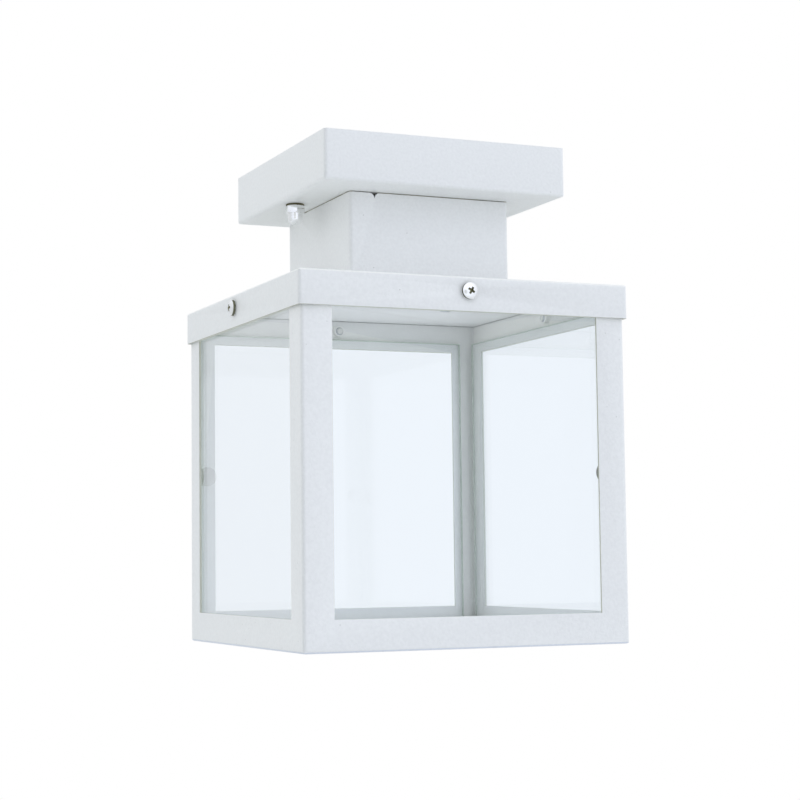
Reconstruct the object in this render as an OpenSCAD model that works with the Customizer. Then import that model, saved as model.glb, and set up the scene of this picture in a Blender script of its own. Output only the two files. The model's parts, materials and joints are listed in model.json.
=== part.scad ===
// Square porch ceiling lantern of folded white sheet, with a glazed cage under a roof pan.
// Millimetres, +Z up. The origin is the middle of the ceiling face; the lantern hangs below it.
// The front is -Y.

/* [Sheet metal] */
// Thickness of all folded sheet
sheet_t = 1.0; // [0.8:0.1:1.2]
// Outside radius of the folds
bend_r = 1.7; // [1.5:0.1:2.5]

/* [Ceiling pan] */
// Width of the square ceiling pan
canopy_w = 119.6; // [116:0.2:128]
// Height of the ceiling pan
canopy_h = 23; // [21:0.5:32]

/* [Neck] */
// Width of the square neck
neck_w = 80; // [78:0.5:84]
// Length of the neck's folded tabs
tab_l = 52; // [50:1:58]
// How far the tabs reach inwards from the neck's wall
tab_reach = 9; // [8:0.5:10]
// Width of the relief notch at one end of each upper tab
notch_w = 3.6; // [2:0.2:5]
// Depth of the relief notch below the ceiling pan
notch_h = 1.3; // [0.8:0.1:2]
// Depth of the point in the middle of the notch
notch_point = 1.5; // [0.5:0.1:2]
// Gap that shows between the neck's walls and the ceiling pan
neck_seam = 0.35; // [0.2:0.05:0.6]

/* [Roof] */
// Width of the square roof pan
roof_w = 160; // [152:1:176]
// Height of the roof pan, skirt included
roof_h = 15.5; // [14:0.5:20]
// Radius of the round opening in the roof under the lamp holder
roof_hole_r = 24; // [22:0.5:27]

/* [Cage] */
// Gap between the roof's skirt and the cage
cage_gap = 0.5; // [0.3:0.1:1]
// Height of the cage that shows below the skirt
cage_show = 147.2; // [110:0.2:200]
// Gap between the cage's top edge and the roof
cage_top_gap = 0.3; // [0.1:0.1:0.8]
// Width of the frame around each window
border = 14.2; // [13.6:0.2:18]
// Height of the bottom channel's upright flange
flange_h = 6; // [4:0.5:9]

/* [Glass] */
// Thickness of the panes
glass_t = 3; // [2:0.5:3]
// Play between pane and wall, and between pane and bottom flange
glass_play = 0.2; // [0.1:0.1:0.4]
// How far a pane covers each side of its window
glass_cover = 6.2; // [5:0.2:6.4]
// How far a pane stands above its window
glass_over = 4.6; // [3:0.2:5]
// Sideways place of the front and back panes, from the middle
front_shift = 2.2; // [0:0.1:2.4]
// Sideways place of the side panes, from the middle
side_shift = 3.3; // [0:0.1:3.4]
// Half the width of the clear dabs that hold the panes
dab_half_w = 3.9; // [3.6:0.1:4.3]
// Half the height of the dabs
dab_half_h = 5; // [4.5:0.1:5.6]
// Thickness of a dab over the glass
dab_over = 0.8; // [0.5:0.1:1]
// Height of the front right dabs above the bottom of the panes
front_dab_up = 75.8; // [50:0.2:90]
// Height of the back left dabs above the bottom of the panes
back_dab_up = 79.6; // [50:0.2:90]

/* [Roof screws] */
// Radius of the roof screw's shank
screw_r = 2; // [1.5:0.1:2.1]
// Length of the roof screw under its head
screw_l = 6; // [5.5:0.5:8]
// Diameter of the roof screw's head
screw_head_d = 7.4; // [7:0.1:8.4]
// Height of the roof screw's head
screw_head_h = 2.5; // [2.2:0.1:3.2]
// Distance of the roof screws below the top of the roof
screw_down = 6.5; // [5.8:0.1:6.8]
// Sideways place of the two side screws, from the middle
side_screw_shift = 6; // [0:0.5:8]
// Extra radius of the holes in the skirt
skirt_hole_play = 0.25; // [0.15:0.05:0.4]
// Outside radius of the drawn collars in the cage's top rail
collar_r = 2.7; // [2.65:0.05:2.9]
// Length of the drawn collars
collar_l = 2.4; // [1.5:0.1:2.6]

/* [Bracket and studs] */
// Width of the mounting bar
bar_w = 22; // [20:0.5:26]
// Thickness of the mounting bar
bar_t = 1.5; // [1.2:0.1:2.5]
// Gap between the bar's ends and the ceiling pan
bar_end_gap = 2.8; // [1.5:0.1:4]
// Distance between the two slots for ceiling screws
slot_pitch = 60; // [54:1:64]
// Length of each slot, end to end
slot_l = 12; // [8:0.5:14]
// Width of each slot
slot_w = 5; // [4:0.1:6]
// Diameter of the cable hole in the bar
cable_hole_d = 12; // [10:0.5:14]
// Distance of the studs from the edge of the ceiling pan
stud_inset = 8.3; // [7.8:0.1:9]
// Radius of the studs
stud_r = 2.5; // [2.4:0.1:2.6]
// Height of the lock nuts
lock_nut_h = 4; // [3:0.1:4.5]
// Width across the flats of the stud nuts and acorn nuts
nut_af = 8; // [7.8:0.1:8.4]
// Height of the acorn nuts
acorn_h = 9.2; // [8.5:0.1:10.5]
// Height of the acorn nut's hexagon
acorn_hex_h = 3.6; // [3:0.1:4.4]
// Radius of the acorn nut's dome
acorn_dome_r = 3.65; // [3.5:0.05:3.8]
// Outside radius of the rubber washers
washer_r = 4.3; // [4.1:0.1:5]
// Thickness of the rubber washers
washer_t = 0.8; // [0.6:0.1:1.2]

/* [Lamp holder] */
// Outside radius of the ceramic body
holder_r = 20; // [19:0.5:20.5]
// Height of the ceramic body
holder_h = 35; // [32:0.5:45]
// Free height over the ceramic body, for its terminals; the neck is as high as both need
head_room = 8; // [7:0.5:30]
// How far the mouth stands above the roof's underside
mouth_up = 1; // [0.5:0.1:1.4]
// Inside radius of the threaded shell
shell_r = 13.3; // [13.1:0.05:13.4]
// Wall of the threaded shell
shell_t = 0.45; // [0.3:0.05:0.6]
// Length of the shell's wall
shell_l = 20.5; // [18:0.5:21]
// How far the shell is set back from the mouth
shell_up = 1.5; // [1:0.1:2]
// Width of the centre contact
contact_w = 5; // [4:0.5:7]
// Thickness of the strap
strap_t = 1.2; // [1:0.1:1.4]
// Width of the strap
strap_w = 12; // [11:0.5:13]
// Radius of the strap's middle, round the wire hole
strap_hub_r = 10.5; // [10:0.1:11]
// Distance between the strap's two fixing screws
strap_pitch = 28; // [27:0.5:31]
// Distance of the side screws below the ceramic body's top
side_screw_down = 6; // [5:0.5:9]
// Radius of the wire hole in ceiling pan and strap
wire_hole_r = 6; // [5.5:0.1:6.4]

/* [Wiring] */
// Radius of the insulated wires
wire_r = 1.2; // [0.9:0.1:1.25]
// Distance between the poles of the terminal block
pole_pitch = 10; // [9.5:0.5:10.5]
// Depth of the terminal block, along the wires
block_d = 16; // [15:0.5:17]
// Height of the terminal block's base
block_h = 9; // [8.5:0.5:10]
// Height of the terminal block with its screw towers
block_top = 13; // [12.5:0.5:14]
// Distance between the terminal block's screw and the neck's back tab
block_room = 4; // [3.6:0.1:5]
// Distance of the earth screw to the right of the centre
earth_x = 22; // [21.5:0.5:24]
// Distance of the earth screw behind the centre
earth_y = 12.5; // [12:0.5:13]

/* [Hidden] */
$fn = 64;

// Cutters reach this far past the faces they cut
over = 1;
// Running clearance, on the radius, between a screw and what it turns in
thread_play = 0.05;
// Space left between a moving fastener's seat and what it seats on
seat_play = 0.05;

// Heights, from the ceiling down
canopy_z = -canopy_h;
neck_h = holder_h + head_room - sheet_t + mouth_up;
roof_z = canopy_z - neck_h;
roof_under_z = roof_z - sheet_t;
skirt_z = roof_z - roof_h;
cage_z = skirt_z - cage_show;
cage_top_z = roof_under_z - cage_top_gap;
screw_z = roof_z - screw_down;

// Cage and glass
cage_w = roof_w - 2 * (sheet_t + cage_gap);
cage_h = cage_top_z - cage_z;
wall_in = cage_w / 2 - sheet_t;
window_w = cage_w - 2 * border;
window_h = cage_h - 2 * border;
channel_w = glass_t + 2 * glass_play;
fold_in_r = bend_r - sheet_t;
glass_lift = fold_in_r - sqrt(pow(fold_in_r, 2) - pow(max(fold_in_r - glass_play, 0), 2)) + seat_play;
glass_z = cage_z + sheet_t + glass_lift;
glass_w = window_w + 2 * glass_cover;
glass_h = cage_z + border + window_h + glass_over - glass_z;
pane_out = wall_in - glass_play;
pane_in = pane_out - glass_t;
dab_t = wall_in - pane_in + dab_over;
dab_edge_r = 0.6;
// Space between the two dabs of one corner
dab_apart = 0.1;
dab_place = wall_in - dab_t - dab_half_w - dab_apart;

// Each side's turn about Z from +X, its roof screw's sideways place, and the turn of its recess
FRONT = [270, 0, 60];
LEFT = [180, -side_screw_shift, 5];
BACK = [90, 0, 35];
RIGHT = [0, -side_screw_shift, 70];
SIDES = [FRONT, LEFT, BACK, RIGHT];

// Studs, bracket and acorn nuts
bar_l = canopy_w - 2 * (sheet_t + bar_end_gap);
bar_corner_r = 3;
stud_x = canopy_w / 2 - stud_inset;
stud_top_gap = 0.2;
stud_hole_r = stud_r + 0.25;
washer_z = canopy_z - washer_t;
// Solid height at the tip of the acorn nut, and the room left over the stud in its bore
acorn_cap = 1.8;
acorn_room = 0.9;
acorn_bore = acorn_h - acorn_cap;
stud_out = acorn_bore - acorn_room;
acorn_turn = 22;
nut_chamfer = 0.5;

// Small screws of the lamp holder and wiring: thread radius, head and nut
m3 = [1.5, 2.8, 2.0, 5.5, 2.4];
m4 = [2.0, 3.9, 2.6, 7.0, 3.2];
end_chamfer = 0.4;
// How far a screw stands out of its nut
nut_show = 0.6;
// Turns of the small screws' recesses
strap_screw_turn = 25;
side_recess_turn = 15;
block_screw_turn = 40;
earth_screw_turn = 30;

// Pan head: straight rim, floor of the recess, half its span and its width, each as a share of the head
head_rim = 0.36;
recess_floor = 0.35;
recess_span = 0.29;
recess_w = 0.14;
// Radii of the recess at its floor and at its mouth, as shares of half its span
recess_taper = [0.45, 1.05];

// Relief notch: height of its straight mouth, and where its point begins, as a share of its width
notch_mouth = 0.4;
notch_share = 0.34;

// Rivets: shank, head and tail
rivet_r = 1.6;
rivet_head_r = 3.2;
rivet_head_h = 0.9;
rivet_crown_r = 1.9;
rivet_tail_r = 2.3;
rivet_tail_h = 2.4;
rivet_along = 20;
tab_mid = neck_w / 2 - sheet_t - tab_reach / 2;

// Lamp holder
mouth_z = roof_under_z + mouth_up;
holder_top_z = mouth_z + holder_h;
shell_gap = 0.45;
shell_seat_t = 0.5;
shell_seat_r = 9.5;
contact_t = 0.6;
contact_room = 5.5;
// Clearance between the tongue's foot and the shell's seat
contact_clear = 1.2;
contact_rivet_r = 2.4;
contact_rivet_h = [0.6, 0.8];
// Places along the tongue: its riveted end, its bend, its foot and its lip
tongue = [-7, 2, 5.5, 7];
tongue_lip = [0.6, 0.8];
lip_r = 1.6;
shoulder_r = 1.5;
shoulder_down = 11;
boss_out = 1.4;
boss_h = 9;
boss_w = strap_w - 1;
boss_d = 5;
side_screw_grip = 4;
side_hole_l = 4.5;
strap_z = canopy_z - strap_t;
strap_leg_x = holder_r + boss_out;
strap_tail = 4;
side_z = holder_top_z - side_screw_down;
grommet_wall = 1.9;
grommet_flange = 2.4;
grommet_flange_t = 1.3;
terminal_s = 6;
terminal_h = 5.4;
terminal_y = strap_hub_r + terminal_s / 2 + 0.3;
terminal_hole_up = 2.7;
// Height of a clamp screw's head; width and depth of its slot
clamp_head_h = 1.6;
clamp_low_head_h = 1;
clamp_slot = [0.5, 0.5];

// Terminal block
plate_z = canopy_z + sheet_t;
block_y = neck_w / 2 - sheet_t - tab_reach - block_room;
tube_r = 2.4;
tube_in_r = 1.7;
tube_up = 4.6;
tube_play = 0.05;
tower_r = 3;
tower_off = 4;
clamp_r = 1.25;
clamp_head_r = 1.9;
pole_z = plate_z + tube_up;
lug_t = 0.8;
lug_tube_r = 1.8;
lug_tube_l = 4;
lug_gap = 0.6;
lug_wall_end = 1;
lug_reach = m4[1] + lug_gap + lug_tube_l;
block_side = 0.5;
tube_short = 1;
tube_over = 1;

// Wires: how far they reach into the block's tubes, and how far apart they pass the grommet
wire_in_tube = 2;
wire_apart = 0.3;

// ---------- outlines and folded forms ----------

// Square with true round corners
module round_square(w, r) {
  square([w, w - 2 * r], center = true);
  square([w - 2 * r, w], center = true);
  for (sx = [-1, 1], sy = [-1, 1])
    translate([sx * (w / 2 - r), sy * (w / 2 - r)]) circle(r);
}

// Side view of a pan: closed and round-edged at 0, open at h
module pan_outline(w, h, r) {
  translate([-w / 2, r]) square([w, h - r]);
  translate([r - w / 2, 0]) square([w - 2 * r, h]);
  for (s = [-1, 1]) translate([s * (w / 2 - r), r]) circle(r);
}

// Block with every edge of a pan's floor and corners folded round
module pan_block(w, h, r) {
  intersection() {
    linear_extrude(h) round_square(w, r);
    rotate([90, 0, 0]) linear_extrude(w + over, center = true) pan_outline(w, h, r);
    rotate([90, 0, 90]) linear_extrude(w + over, center = true) pan_outline(w, h, r);
  }
}

// Folded pan, floor at 0, open above
module pan(w, h) {
  difference() {
    pan_block(w, h, bend_r);
    translate([0, 0, sheet_t]) pan_block(w - 2 * sheet_t, h, bend_r - sheet_t);
  }
}

// Puts its children on each of the four sides in turn, made for the front
module four_sides() {
  for (a = [0:90:270]) rotate([0, 0, a]) children();
}

// ---------- fasteners ----------

// Dome of a pan head, seat at 0, with a cross recess
module pan_head(d, h, turn) {
  rim = h * head_rim;
  dome_r = ((d / 2) * (d / 2) + (h - rim) * (h - rim)) / (2 * (h - rim));
  arm = d * recess_span;
  floor_z = h * recess_floor;
  difference() {
    union() {
      cylinder(h = rim, d = d);
      intersection() {
        translate([0, 0, h - dome_r]) sphere(dome_r, $fn = 96);
        cylinder(h = h, d = d);
      }
    }
    rotate([0, 0, turn]) translate([0, 0, floor_z]) intersection() {
      linear_extrude(h) {
        square([2 * arm, d * recess_w], center = true);
        square([d * recess_w, 2 * arm], center = true);
      }
      cylinder(h = 2 * floor_z, r1 = arm * recess_taper[0], r2 = arm * recess_taper[1]);
    }
  }
}

// Shank from 0 down to -l, with a chamfered end
module shank(r, l) {
  translate([0, 0, -l + end_chamfer]) cylinder(h = l - end_chamfer, r = r);
  translate([0, 0, -l]) cylinder(h = end_chamfer, r1 = r - end_chamfer, r2 = r);
}

// Small pan head screw, head above 0
module small_screw(size, l, turn = 0) {
  pan_head(2 * size[1], size[2], turn);
  shank(size[0], l);
}

// Hexagon with its top corners turned off, seat at 0 and body above
module hexagon(af, h) {
  intersection() {
    cylinder(h = h, d = af / cos(30), $fn = 6);
    translate([0, 0, -nut_chamfer])
      cylinder(h = h + nut_chamfer, r1 = af / 2 + h + nut_chamfer, r2 = af / 2);
  }
}

// Hexagon nut, seat at 0 and body above
module hex_nut(af, h, bore_r) {
  difference() {
    hexagon(af, h);
    translate([0, 0, -over]) cylinder(h = h + 2 * over, r = bore_r);
  }
}

// Blind rivet through a grip, head below 0 and tail above the grip
module rivet(grip) {
  translate([0, 0, -rivet_head_h]) cylinder(h = rivet_head_h, r1 = rivet_crown_r, r2 = rivet_head_r);
  cylinder(h = grip, r = rivet_r);
  translate([0, 0, grip]) cylinder(h = rivet_tail_h, r1 = rivet_tail_r, r2 = rivet_r);
}

// ---------- bracket and studs ----------

module mounting_bracket() {
  color("silver") translate([0, 0, -bar_t]) difference() {
    linear_extrude(bar_t) {
      square([bar_l, bar_w - 2 * bar_corner_r], center = true);
      square([bar_l - 2 * bar_corner_r, bar_w], center = true);
      for (sx = [-1, 1], sy = [-1, 1])
        translate([sx * (bar_l / 2 - bar_corner_r), sy * (bar_w / 2 - bar_corner_r)])
          circle(bar_corner_r);
    }
    translate([0, 0, -over]) cylinder(h = bar_t + 2 * over, d = cable_hole_d);
    for (s = [-1, 1]) {
      translate([s * slot_pitch / 2, 0, -over]) slot_cutter();
      translate([s * stud_x, 0, -over]) cylinder(h = bar_t + 2 * over, r = stud_r + thread_play);
    }
  }
}

module slot_cutter() {
  run = slot_l - slot_w;
  linear_extrude(bar_t + 2 * over) {
    square([run, slot_w], center = true);
    for (s = [-1, 1]) translate([s * run / 2, 0]) circle(d = slot_w);
  }
}

module bracket_studs() {
  color("silver") for (s = [-1, 1])
    translate([s * stud_x, 0, -stud_top_gap]) shank(stud_r, stud_out - stud_top_gap - washer_z);
}

module stud_lock_nuts() {
  color("silver") for (s = [-1, 1])
    translate([s * stud_x, 0, -bar_t]) mirror([0, 0, 1])
      hex_nut(nut_af, lock_nut_h, stud_r + thread_play);
}

// ---------- ceiling pan, neck and roof ----------

module ceiling_pan() {
  color("white") difference() {
    translate([0, 0, canopy_z]) pan(canopy_w, canopy_h);
    translate([0, 0, canopy_z - over]) {
      for (s = [-1, 1]) translate([s * stud_x, 0, 0])
        cylinder(h = sheet_t + 2 * over, r = stud_hole_r);
      cylinder(h = sheet_t + 2 * over, r = wire_hole_r);
      for (s = [-1, 1]) translate([s * strap_pitch / 2, 0, 0])
        cylinder(h = sheet_t + 2 * over, r = m4[0] + thread_play);
      four_sides() translate([rivet_along, -tab_mid, 0])
        cylinder(h = sheet_t + 2 * over, r = rivet_r);
      translate([earth_x, earth_y, 0])
        cylinder(h = sheet_t + 2 * over, r = m4[0] + thread_play);
      translate([pole_pitch / 2, block_y, 0])
        cylinder(h = sheet_t + 2 * over, r = m3[0] + thread_play);
    }
  }
}

// Opening at the left end of an upper tab, cut through the front wall
module relief_notch() {
  translate([-tab_l / 2 - notch_w, -neck_w / 2 - over, canopy_z]) rotate([90, 0, 0])
    mirror([0, 0, 1]) linear_extrude(2 * over + sheet_t)
      polygon([[0, over], [notch_w, over], [notch_w, -notch_mouth], [notch_w * (1 - notch_share), -notch_h],
               [notch_w / 2, -notch_h - notch_point], [notch_w * notch_share, -notch_h], [0, -notch_mouth]]);
}

// Frame that takes the top of the neck's walls off, round its tabs
module seam_cutter() {
  translate([0, 0, canopy_z - neck_seam]) linear_extrude(neck_seam + over) difference() {
    square(neck_w + 2 * over, center = true);
    square(neck_w - 2 * sheet_t, center = true);
  }
}

module neck() {
  tab_in = neck_w / 2 - sheet_t;
  color("white") difference() {
    union() {
      translate([0, 0, roof_z]) linear_extrude(neck_h) difference() {
        round_square(neck_w, bend_r);
        round_square(neck_w - 2 * sheet_t, bend_r - sheet_t);
      }
      four_sides() translate([-tab_l / 2, -tab_in - sheet_t / 2, canopy_z - sheet_t])
        cube([tab_l, tab_reach + sheet_t / 2, sheet_t]);
      for (a = [90, 270]) rotate([0, 0, a])
        translate([-tab_l / 2, -tab_in - sheet_t / 2, roof_z])
          cube([tab_l, tab_reach + sheet_t / 2, sheet_t]);
    }
    four_sides() relief_notch();
    seam_cutter();
    four_sides() translate([rivet_along, -tab_mid, canopy_z - sheet_t - over])
      cylinder(h = sheet_t + 2 * over, r = rivet_r);
    for (a = [90, 270], s = [-1, 1]) rotate([0, 0, a])
      translate([s * rivet_along, -tab_mid, roof_z - over])
        cylinder(h = sheet_t + 2 * over, r = rivet_r);
  }
}

module neck_rivets() {
  color("silver") four_sides()
    translate([rivet_along, -tab_mid, canopy_z - sheet_t]) rivet(2 * sheet_t);
}

module roof_rivets() {
  color("silver") for (a = [90, 270], s = [-1, 1]) rotate([0, 0, a])
    translate([s * rivet_along, -tab_mid, roof_under_z]) rivet(2 * sheet_t);
}

module roof() {
  color("white") difference() {
    translate([0, 0, roof_z]) mirror([0, 0, 1]) pan(roof_w, roof_h);
    translate([0, 0, roof_under_z - over]) {
      cylinder(h = sheet_t + 2 * over, r = roof_hole_r);
      for (a = [90, 270], s = [-1, 1]) rotate([0, 0, a]) translate([s * rivet_along, -tab_mid, 0])
        cylinder(h = sheet_t + 2 * over, r = rivet_r);
    }
    for (side = SIDES) on_skirt(side)
      translate([0, 0, -sheet_t - over])
        cylinder(h = sheet_t + 2 * over, r = screw_r + skirt_hole_play);
  }
}

// ---------- cage ----------

// Puts its children at a roof screw's seat on the skirt, with +Z outwards
module on_skirt(side) {
  rotate([0, 0, side[0]]) translate([roof_w / 2, side[1], screw_z]) rotate([0, 90, 0]) children();
}

// Whole cage: folded walls, bottom channel, windows and drawn collars
module cage_shell() {
  well = wall_in - channel_w;
  difference() {
    union() {
      translate([0, 0, cage_z]) difference() {
        pan(cage_w, cage_h);
        translate([0, 0, -over]) linear_extrude(2 * over + sheet_t)
          square(2 * (well - sheet_t), center = true);
      }
      translate([0, 0, cage_z + sheet_t / 2]) linear_extrude(sheet_t / 2 + flange_h) difference() {
        square(2 * well, center = true);
        square(2 * (well - sheet_t), center = true);
      }
      for (side = SIDES) on_cage(side)
        translate([0, 0, -sheet_t - collar_l]) cylinder(h = collar_l + sheet_t / 2, r = collar_r);
    }
    for (a = [0, 90]) rotate([0, 0, a])
      translate([-window_w / 2, -cage_w / 2 - over, cage_z + border])
        cube([window_w, cage_w + 2 * over, window_h]);
    for (side = SIDES) on_cage(side)
      translate([0, 0, -sheet_t - collar_l - over])
        cylinder(h = collar_l + sheet_t + 2 * over, r = screw_r + thread_play);
  }
}

// Puts its children at a roof screw's hole on the cage's outside, with +Z outwards
module on_cage(side) {
  rotate([0, 0, side[0]]) translate([cage_w / 2, side[1], screw_z]) rotate([0, 90, 0]) children();
}

// Plan of the half that is folded at the front left corner; it ends behind the back wall
module half_plan() {
  h = cage_w / 2 + over;
  difference() {
    union() {
      polygon([[-h, -h], [h, -h], [-h, h]]);
      translate([0, -h]) square([h, h - wall_in]);
    }
    translate([-h, wall_in]) square([h, h - wall_in]);
  }
}

module cage_half(turn) {
  intersection() {
    cage_shell();
    rotate([0, 0, turn]) translate([0, 0, cage_z - over])
      linear_extrude(cage_h + 2 * over) half_plan();
  }
}

module cage_front_left() { color("white") cage_half(0); }

module cage_back_right() { color("white") cage_half(180); }

// ---------- glass ----------

// One pane, made for the front and turned to its side
module pane(turn, shift) {
  color("lightcyan", 0.4) rotate([0, 0, turn])
    translate([shift - glass_w / 2, -pane_out, glass_z]) cube([glass_w, glass_t, glass_h]);
}

module glass_front() { pane(0, front_shift); }

module glass_right() { pane(90, side_shift); }

module glass_back() { pane(180, front_shift); }

module glass_left() { pane(270, side_shift); }

// Half section of a dab, with its top edge rounded
module dab_section() {
  square([dab_half_w, dab_t - dab_edge_r]);
  square([dab_half_w - dab_edge_r, dab_t]);
  translate([dab_half_w - dab_edge_r, dab_t - dab_edge_r]) intersection() {
    circle(dab_edge_r);
    square(dab_edge_r);
  }
}

// Oval dab from the wall up over a pane's edge, made for the front
module dab(shift, up) {
  run = dab_half_h - dab_half_w;
  difference() {
    translate([dab_place, -wall_in, glass_z + up]) rotate([-90, 0, 0]) {
      for (s = [-1, 1]) translate([0, s * run, 0]) rotate_extrude() dab_section();
      rotate([90, 0, 0]) linear_extrude(2 * run, center = true)
        for (m = [0, 1]) mirror([m, 0]) dab_section();
    }
    translate([shift - glass_w / 2, -wall_in - over, glass_z])
      cube([glass_w, over + wall_in - pane_in, glass_h]);
  }
}

// Two dabs at the front right corner and two at the back left
module glass_dabs() {
  color("white", 0.6) for (corner = [[0, front_dab_up], [180, back_dab_up]]) rotate([0, 0, corner[0]]) {
    dab(front_shift, corner[1]);
    rotate([0, 0, 90]) mirror([1, 0, 0]) dab(-side_shift, corner[1]);
  }
}

// ---------- roof screws and acorn nuts ----------

module roof_screw(side) {
  color("gainsboro") on_skirt(side) translate([0, 0, seat_play]) {
    pan_head(screw_head_d, screw_head_h, side[2]);
    shank(screw_r, screw_l);
  }
}

module roof_screw_front() { roof_screw(FRONT); }

module roof_screw_left() { roof_screw(LEFT); }

module roof_screw_back() { roof_screw(BACK); }

module roof_screw_right() { roof_screw(RIGHT); }

// Acorn nut with its seat at 0 and its dome below
module acorn_nut() {
  color("white") difference() {
    union() {
      mirror([0, 0, 1]) hexagon(nut_af, acorn_hex_h);
      translate([0, 0, acorn_dome_r - acorn_h]) cylinder(h = acorn_h - acorn_dome_r, r = acorn_dome_r);
      translate([0, 0, acorn_dome_r - acorn_h]) sphere(acorn_dome_r);
    }
    translate([0, 0, -acorn_bore]) cylinder(h = acorn_bore + over, r = stud_r + thread_play);
  }
}

module acorn_nut_at(s) {
  translate([s * stud_x, 0, washer_z - seat_play]) rotate([0, 0, acorn_turn]) acorn_nut();
}

module acorn_nut_left() { acorn_nut_at(-1); }

module acorn_nut_right() { acorn_nut_at(1); }

module acorn_washers() {
  color("dimgray") for (s = [-1, 1]) translate([s * stud_x, 0, washer_z]) difference() {
    cylinder(h = washer_t, r = washer_r);
    translate([0, 0, -over]) cylinder(h = washer_t + 2 * over, r = stud_hole_r);
  }
}

// ---------- lamp holder ----------

module wire_grommet() {
  grip = sheet_t + strap_t;
  waist_r = wire_hole_r - seat_play;
  color("dimgray") translate([0, 0, strap_z]) difference() {
    union() {
      cylinder(h = grip, r = waist_r);
      for (z = [-grommet_flange_t, grip])
        translate([0, 0, z]) cylinder(h = grommet_flange_t, r = wire_hole_r + grommet_flange);
    }
    translate([0, 0, -grommet_flange_t - over])
      cylinder(h = grip + 2 * (grommet_flange_t + over), r = wire_hole_r - grommet_wall);
  }
}

module holder_strap() {
  leg_h = canopy_z - side_z + strap_tail;
  color("silver") difference() {
    union() {
      translate([0, 0, strap_z]) linear_extrude(strap_t) {
        square([2 * (strap_leg_x + strap_t), strap_w], center = true);
        circle(strap_hub_r);
      }
      for (s = [-1, 1]) translate([s * (strap_leg_x + strap_t / 2), 0, canopy_z - leg_h / 2])
        cube([strap_t, strap_w, leg_h], center = true);
    }
    translate([0, 0, strap_z - over]) {
      cylinder(h = strap_t + 2 * over, r = wire_hole_r);
      for (s = [-1, 1]) translate([s * strap_pitch / 2, 0, 0])
        cylinder(h = strap_t + 2 * over, r = m4[0] + thread_play);
    }
    for (s = [-1, 1]) translate([s * (strap_leg_x - over), 0, side_z]) rotate([0, s * 90, 0])
      cylinder(h = strap_t + 2 * over, r = m3[0] + thread_play);
  }
}

module strap_screws() {
  color("silver") for (s = [-1, 1]) translate([s * strap_pitch / 2, 0, plate_z])
    small_screw(m4, sheet_t + strap_t + m4[4] + nut_show, s * strap_screw_turn);
}

module strap_nuts() {
  color("silver") for (s = [-1, 1]) translate([s * strap_pitch / 2, 0, strap_z]) mirror([0, 0, 1])
    hex_nut(m4[3], m4[4], m4[0] + thread_play);
}

// Half outline of the ceramic body, mouth at 0
module holder_outline() {
  cavity_h = shell_up + shell_l + shell_seat_t;
  cavity_r = shell_r + shell_t + shell_gap;
  difference() {
    union() {
      translate([0, lip_r]) square([holder_r, holder_h - shoulder_down - lip_r]);
      square([holder_r - lip_r, holder_h]);
      translate([holder_r - lip_r, lip_r]) circle(lip_r);
      translate([0, holder_h - shoulder_down]) square([holder_r - shoulder_r, shoulder_down]);
    }
    translate([-over, -over]) square([over + cavity_r, over + cavity_h]);
    translate([-over, 0]) square([over + shell_seat_r, cavity_h + contact_room]);
    translate([-over, 0]) square([over + m3[0], holder_h + over]);
    translate([-2 * holder_r, -over]) square([2 * holder_r, holder_h + 2 * over]);
  }
}

module holder_body() {
  color("ivory") difference() {
    union() {
      translate([0, 0, mouth_z]) rotate_extrude() holder_outline();
      for (s = [-1, 1]) translate([s * (strap_leg_x - boss_d / 2), 0, side_z])
        cube([boss_d, boss_w, boss_h], center = true);
    }
    for (s = [-1, 1]) translate([s * (strap_leg_x + over), 0, side_z]) rotate([0, -s * 90, 0])
      cylinder(h = side_hole_l + over, r = m3[0] + thread_play);
  }
}

module holder_side_screws() {
  color("silver") for (s = [-1, 1]) translate([s * (strap_leg_x + strap_t), 0, side_z])
    rotate([0, s * 90, 0]) small_screw(m3, strap_t + side_screw_grip, side_recess_turn);
}

module holder_shell() {
  color("goldenrod") translate([0, 0, mouth_z + shell_up]) difference() {
    cylinder(h = shell_l + shell_seat_t, r = shell_r + shell_t);
    translate([0, 0, -over]) cylinder(h = shell_l + over, r = shell_r);
    cylinder(h = shell_l + shell_seat_t + over, r = shell_seat_r);
  }
}

// Side view of the sprung tongue, its root at 0
module tongue_side() {
  sole = contact_clear - contact_room;
  instep = sole + contact_t;
  lip_z = instep + tongue_lip[1];
  polygon([[tongue[0], 0], [tongue[1], 0], [tongue[2], instep], [tongue[3] - tongue_lip[0], instep],
           [tongue[3], lip_z], [tongue[3] + contact_t, lip_z], [tongue[3], sole],
           [tongue[2] - contact_t, sole], [tongue[1] - contact_t, -contact_t], [tongue[0], -contact_t]]);
}

// Sprung tongue that meets the lamp's tip, riveted through the ceramic
module holder_contact() {
  root_z = mouth_z + shell_up + shell_l + shell_seat_t + contact_room;
  color("goldenrod") {
    translate([0, 0, root_z]) rotate([90, 0, 0]) linear_extrude(contact_w, center = true) tongue_side();
    translate([0, 0, root_z - contact_t - contact_rivet_h[0]])
      cylinder(h = contact_rivet_h[0], r = contact_rivet_r);
    translate([0, 0, root_z - contact_t / 2])
      cylinder(h = holder_top_z - root_z + contact_t / 2, r = m3[0] - thread_play);
    translate([0, 0, holder_top_z]) cylinder(h = contact_rivet_h[1], r = contact_rivet_r);
  }
}

module holder_terminals() {
  color("goldenrod") for (s = [-1, 1]) translate([0, s * terminal_y, holder_top_z]) difference() {
    translate([-terminal_s / 2, -terminal_s / 2, 0]) cube([terminal_s, terminal_s, terminal_h]);
    translate([0, 0, terminal_hole_up]) rotate([90, 0, 0])
      cylinder(h = terminal_s + 2 * over, r = wire_r + thread_play, center = true);
    translate([0, 0, terminal_hole_up]) cylinder(h = terminal_h, r = clamp_r + thread_play);
  }
}

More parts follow.
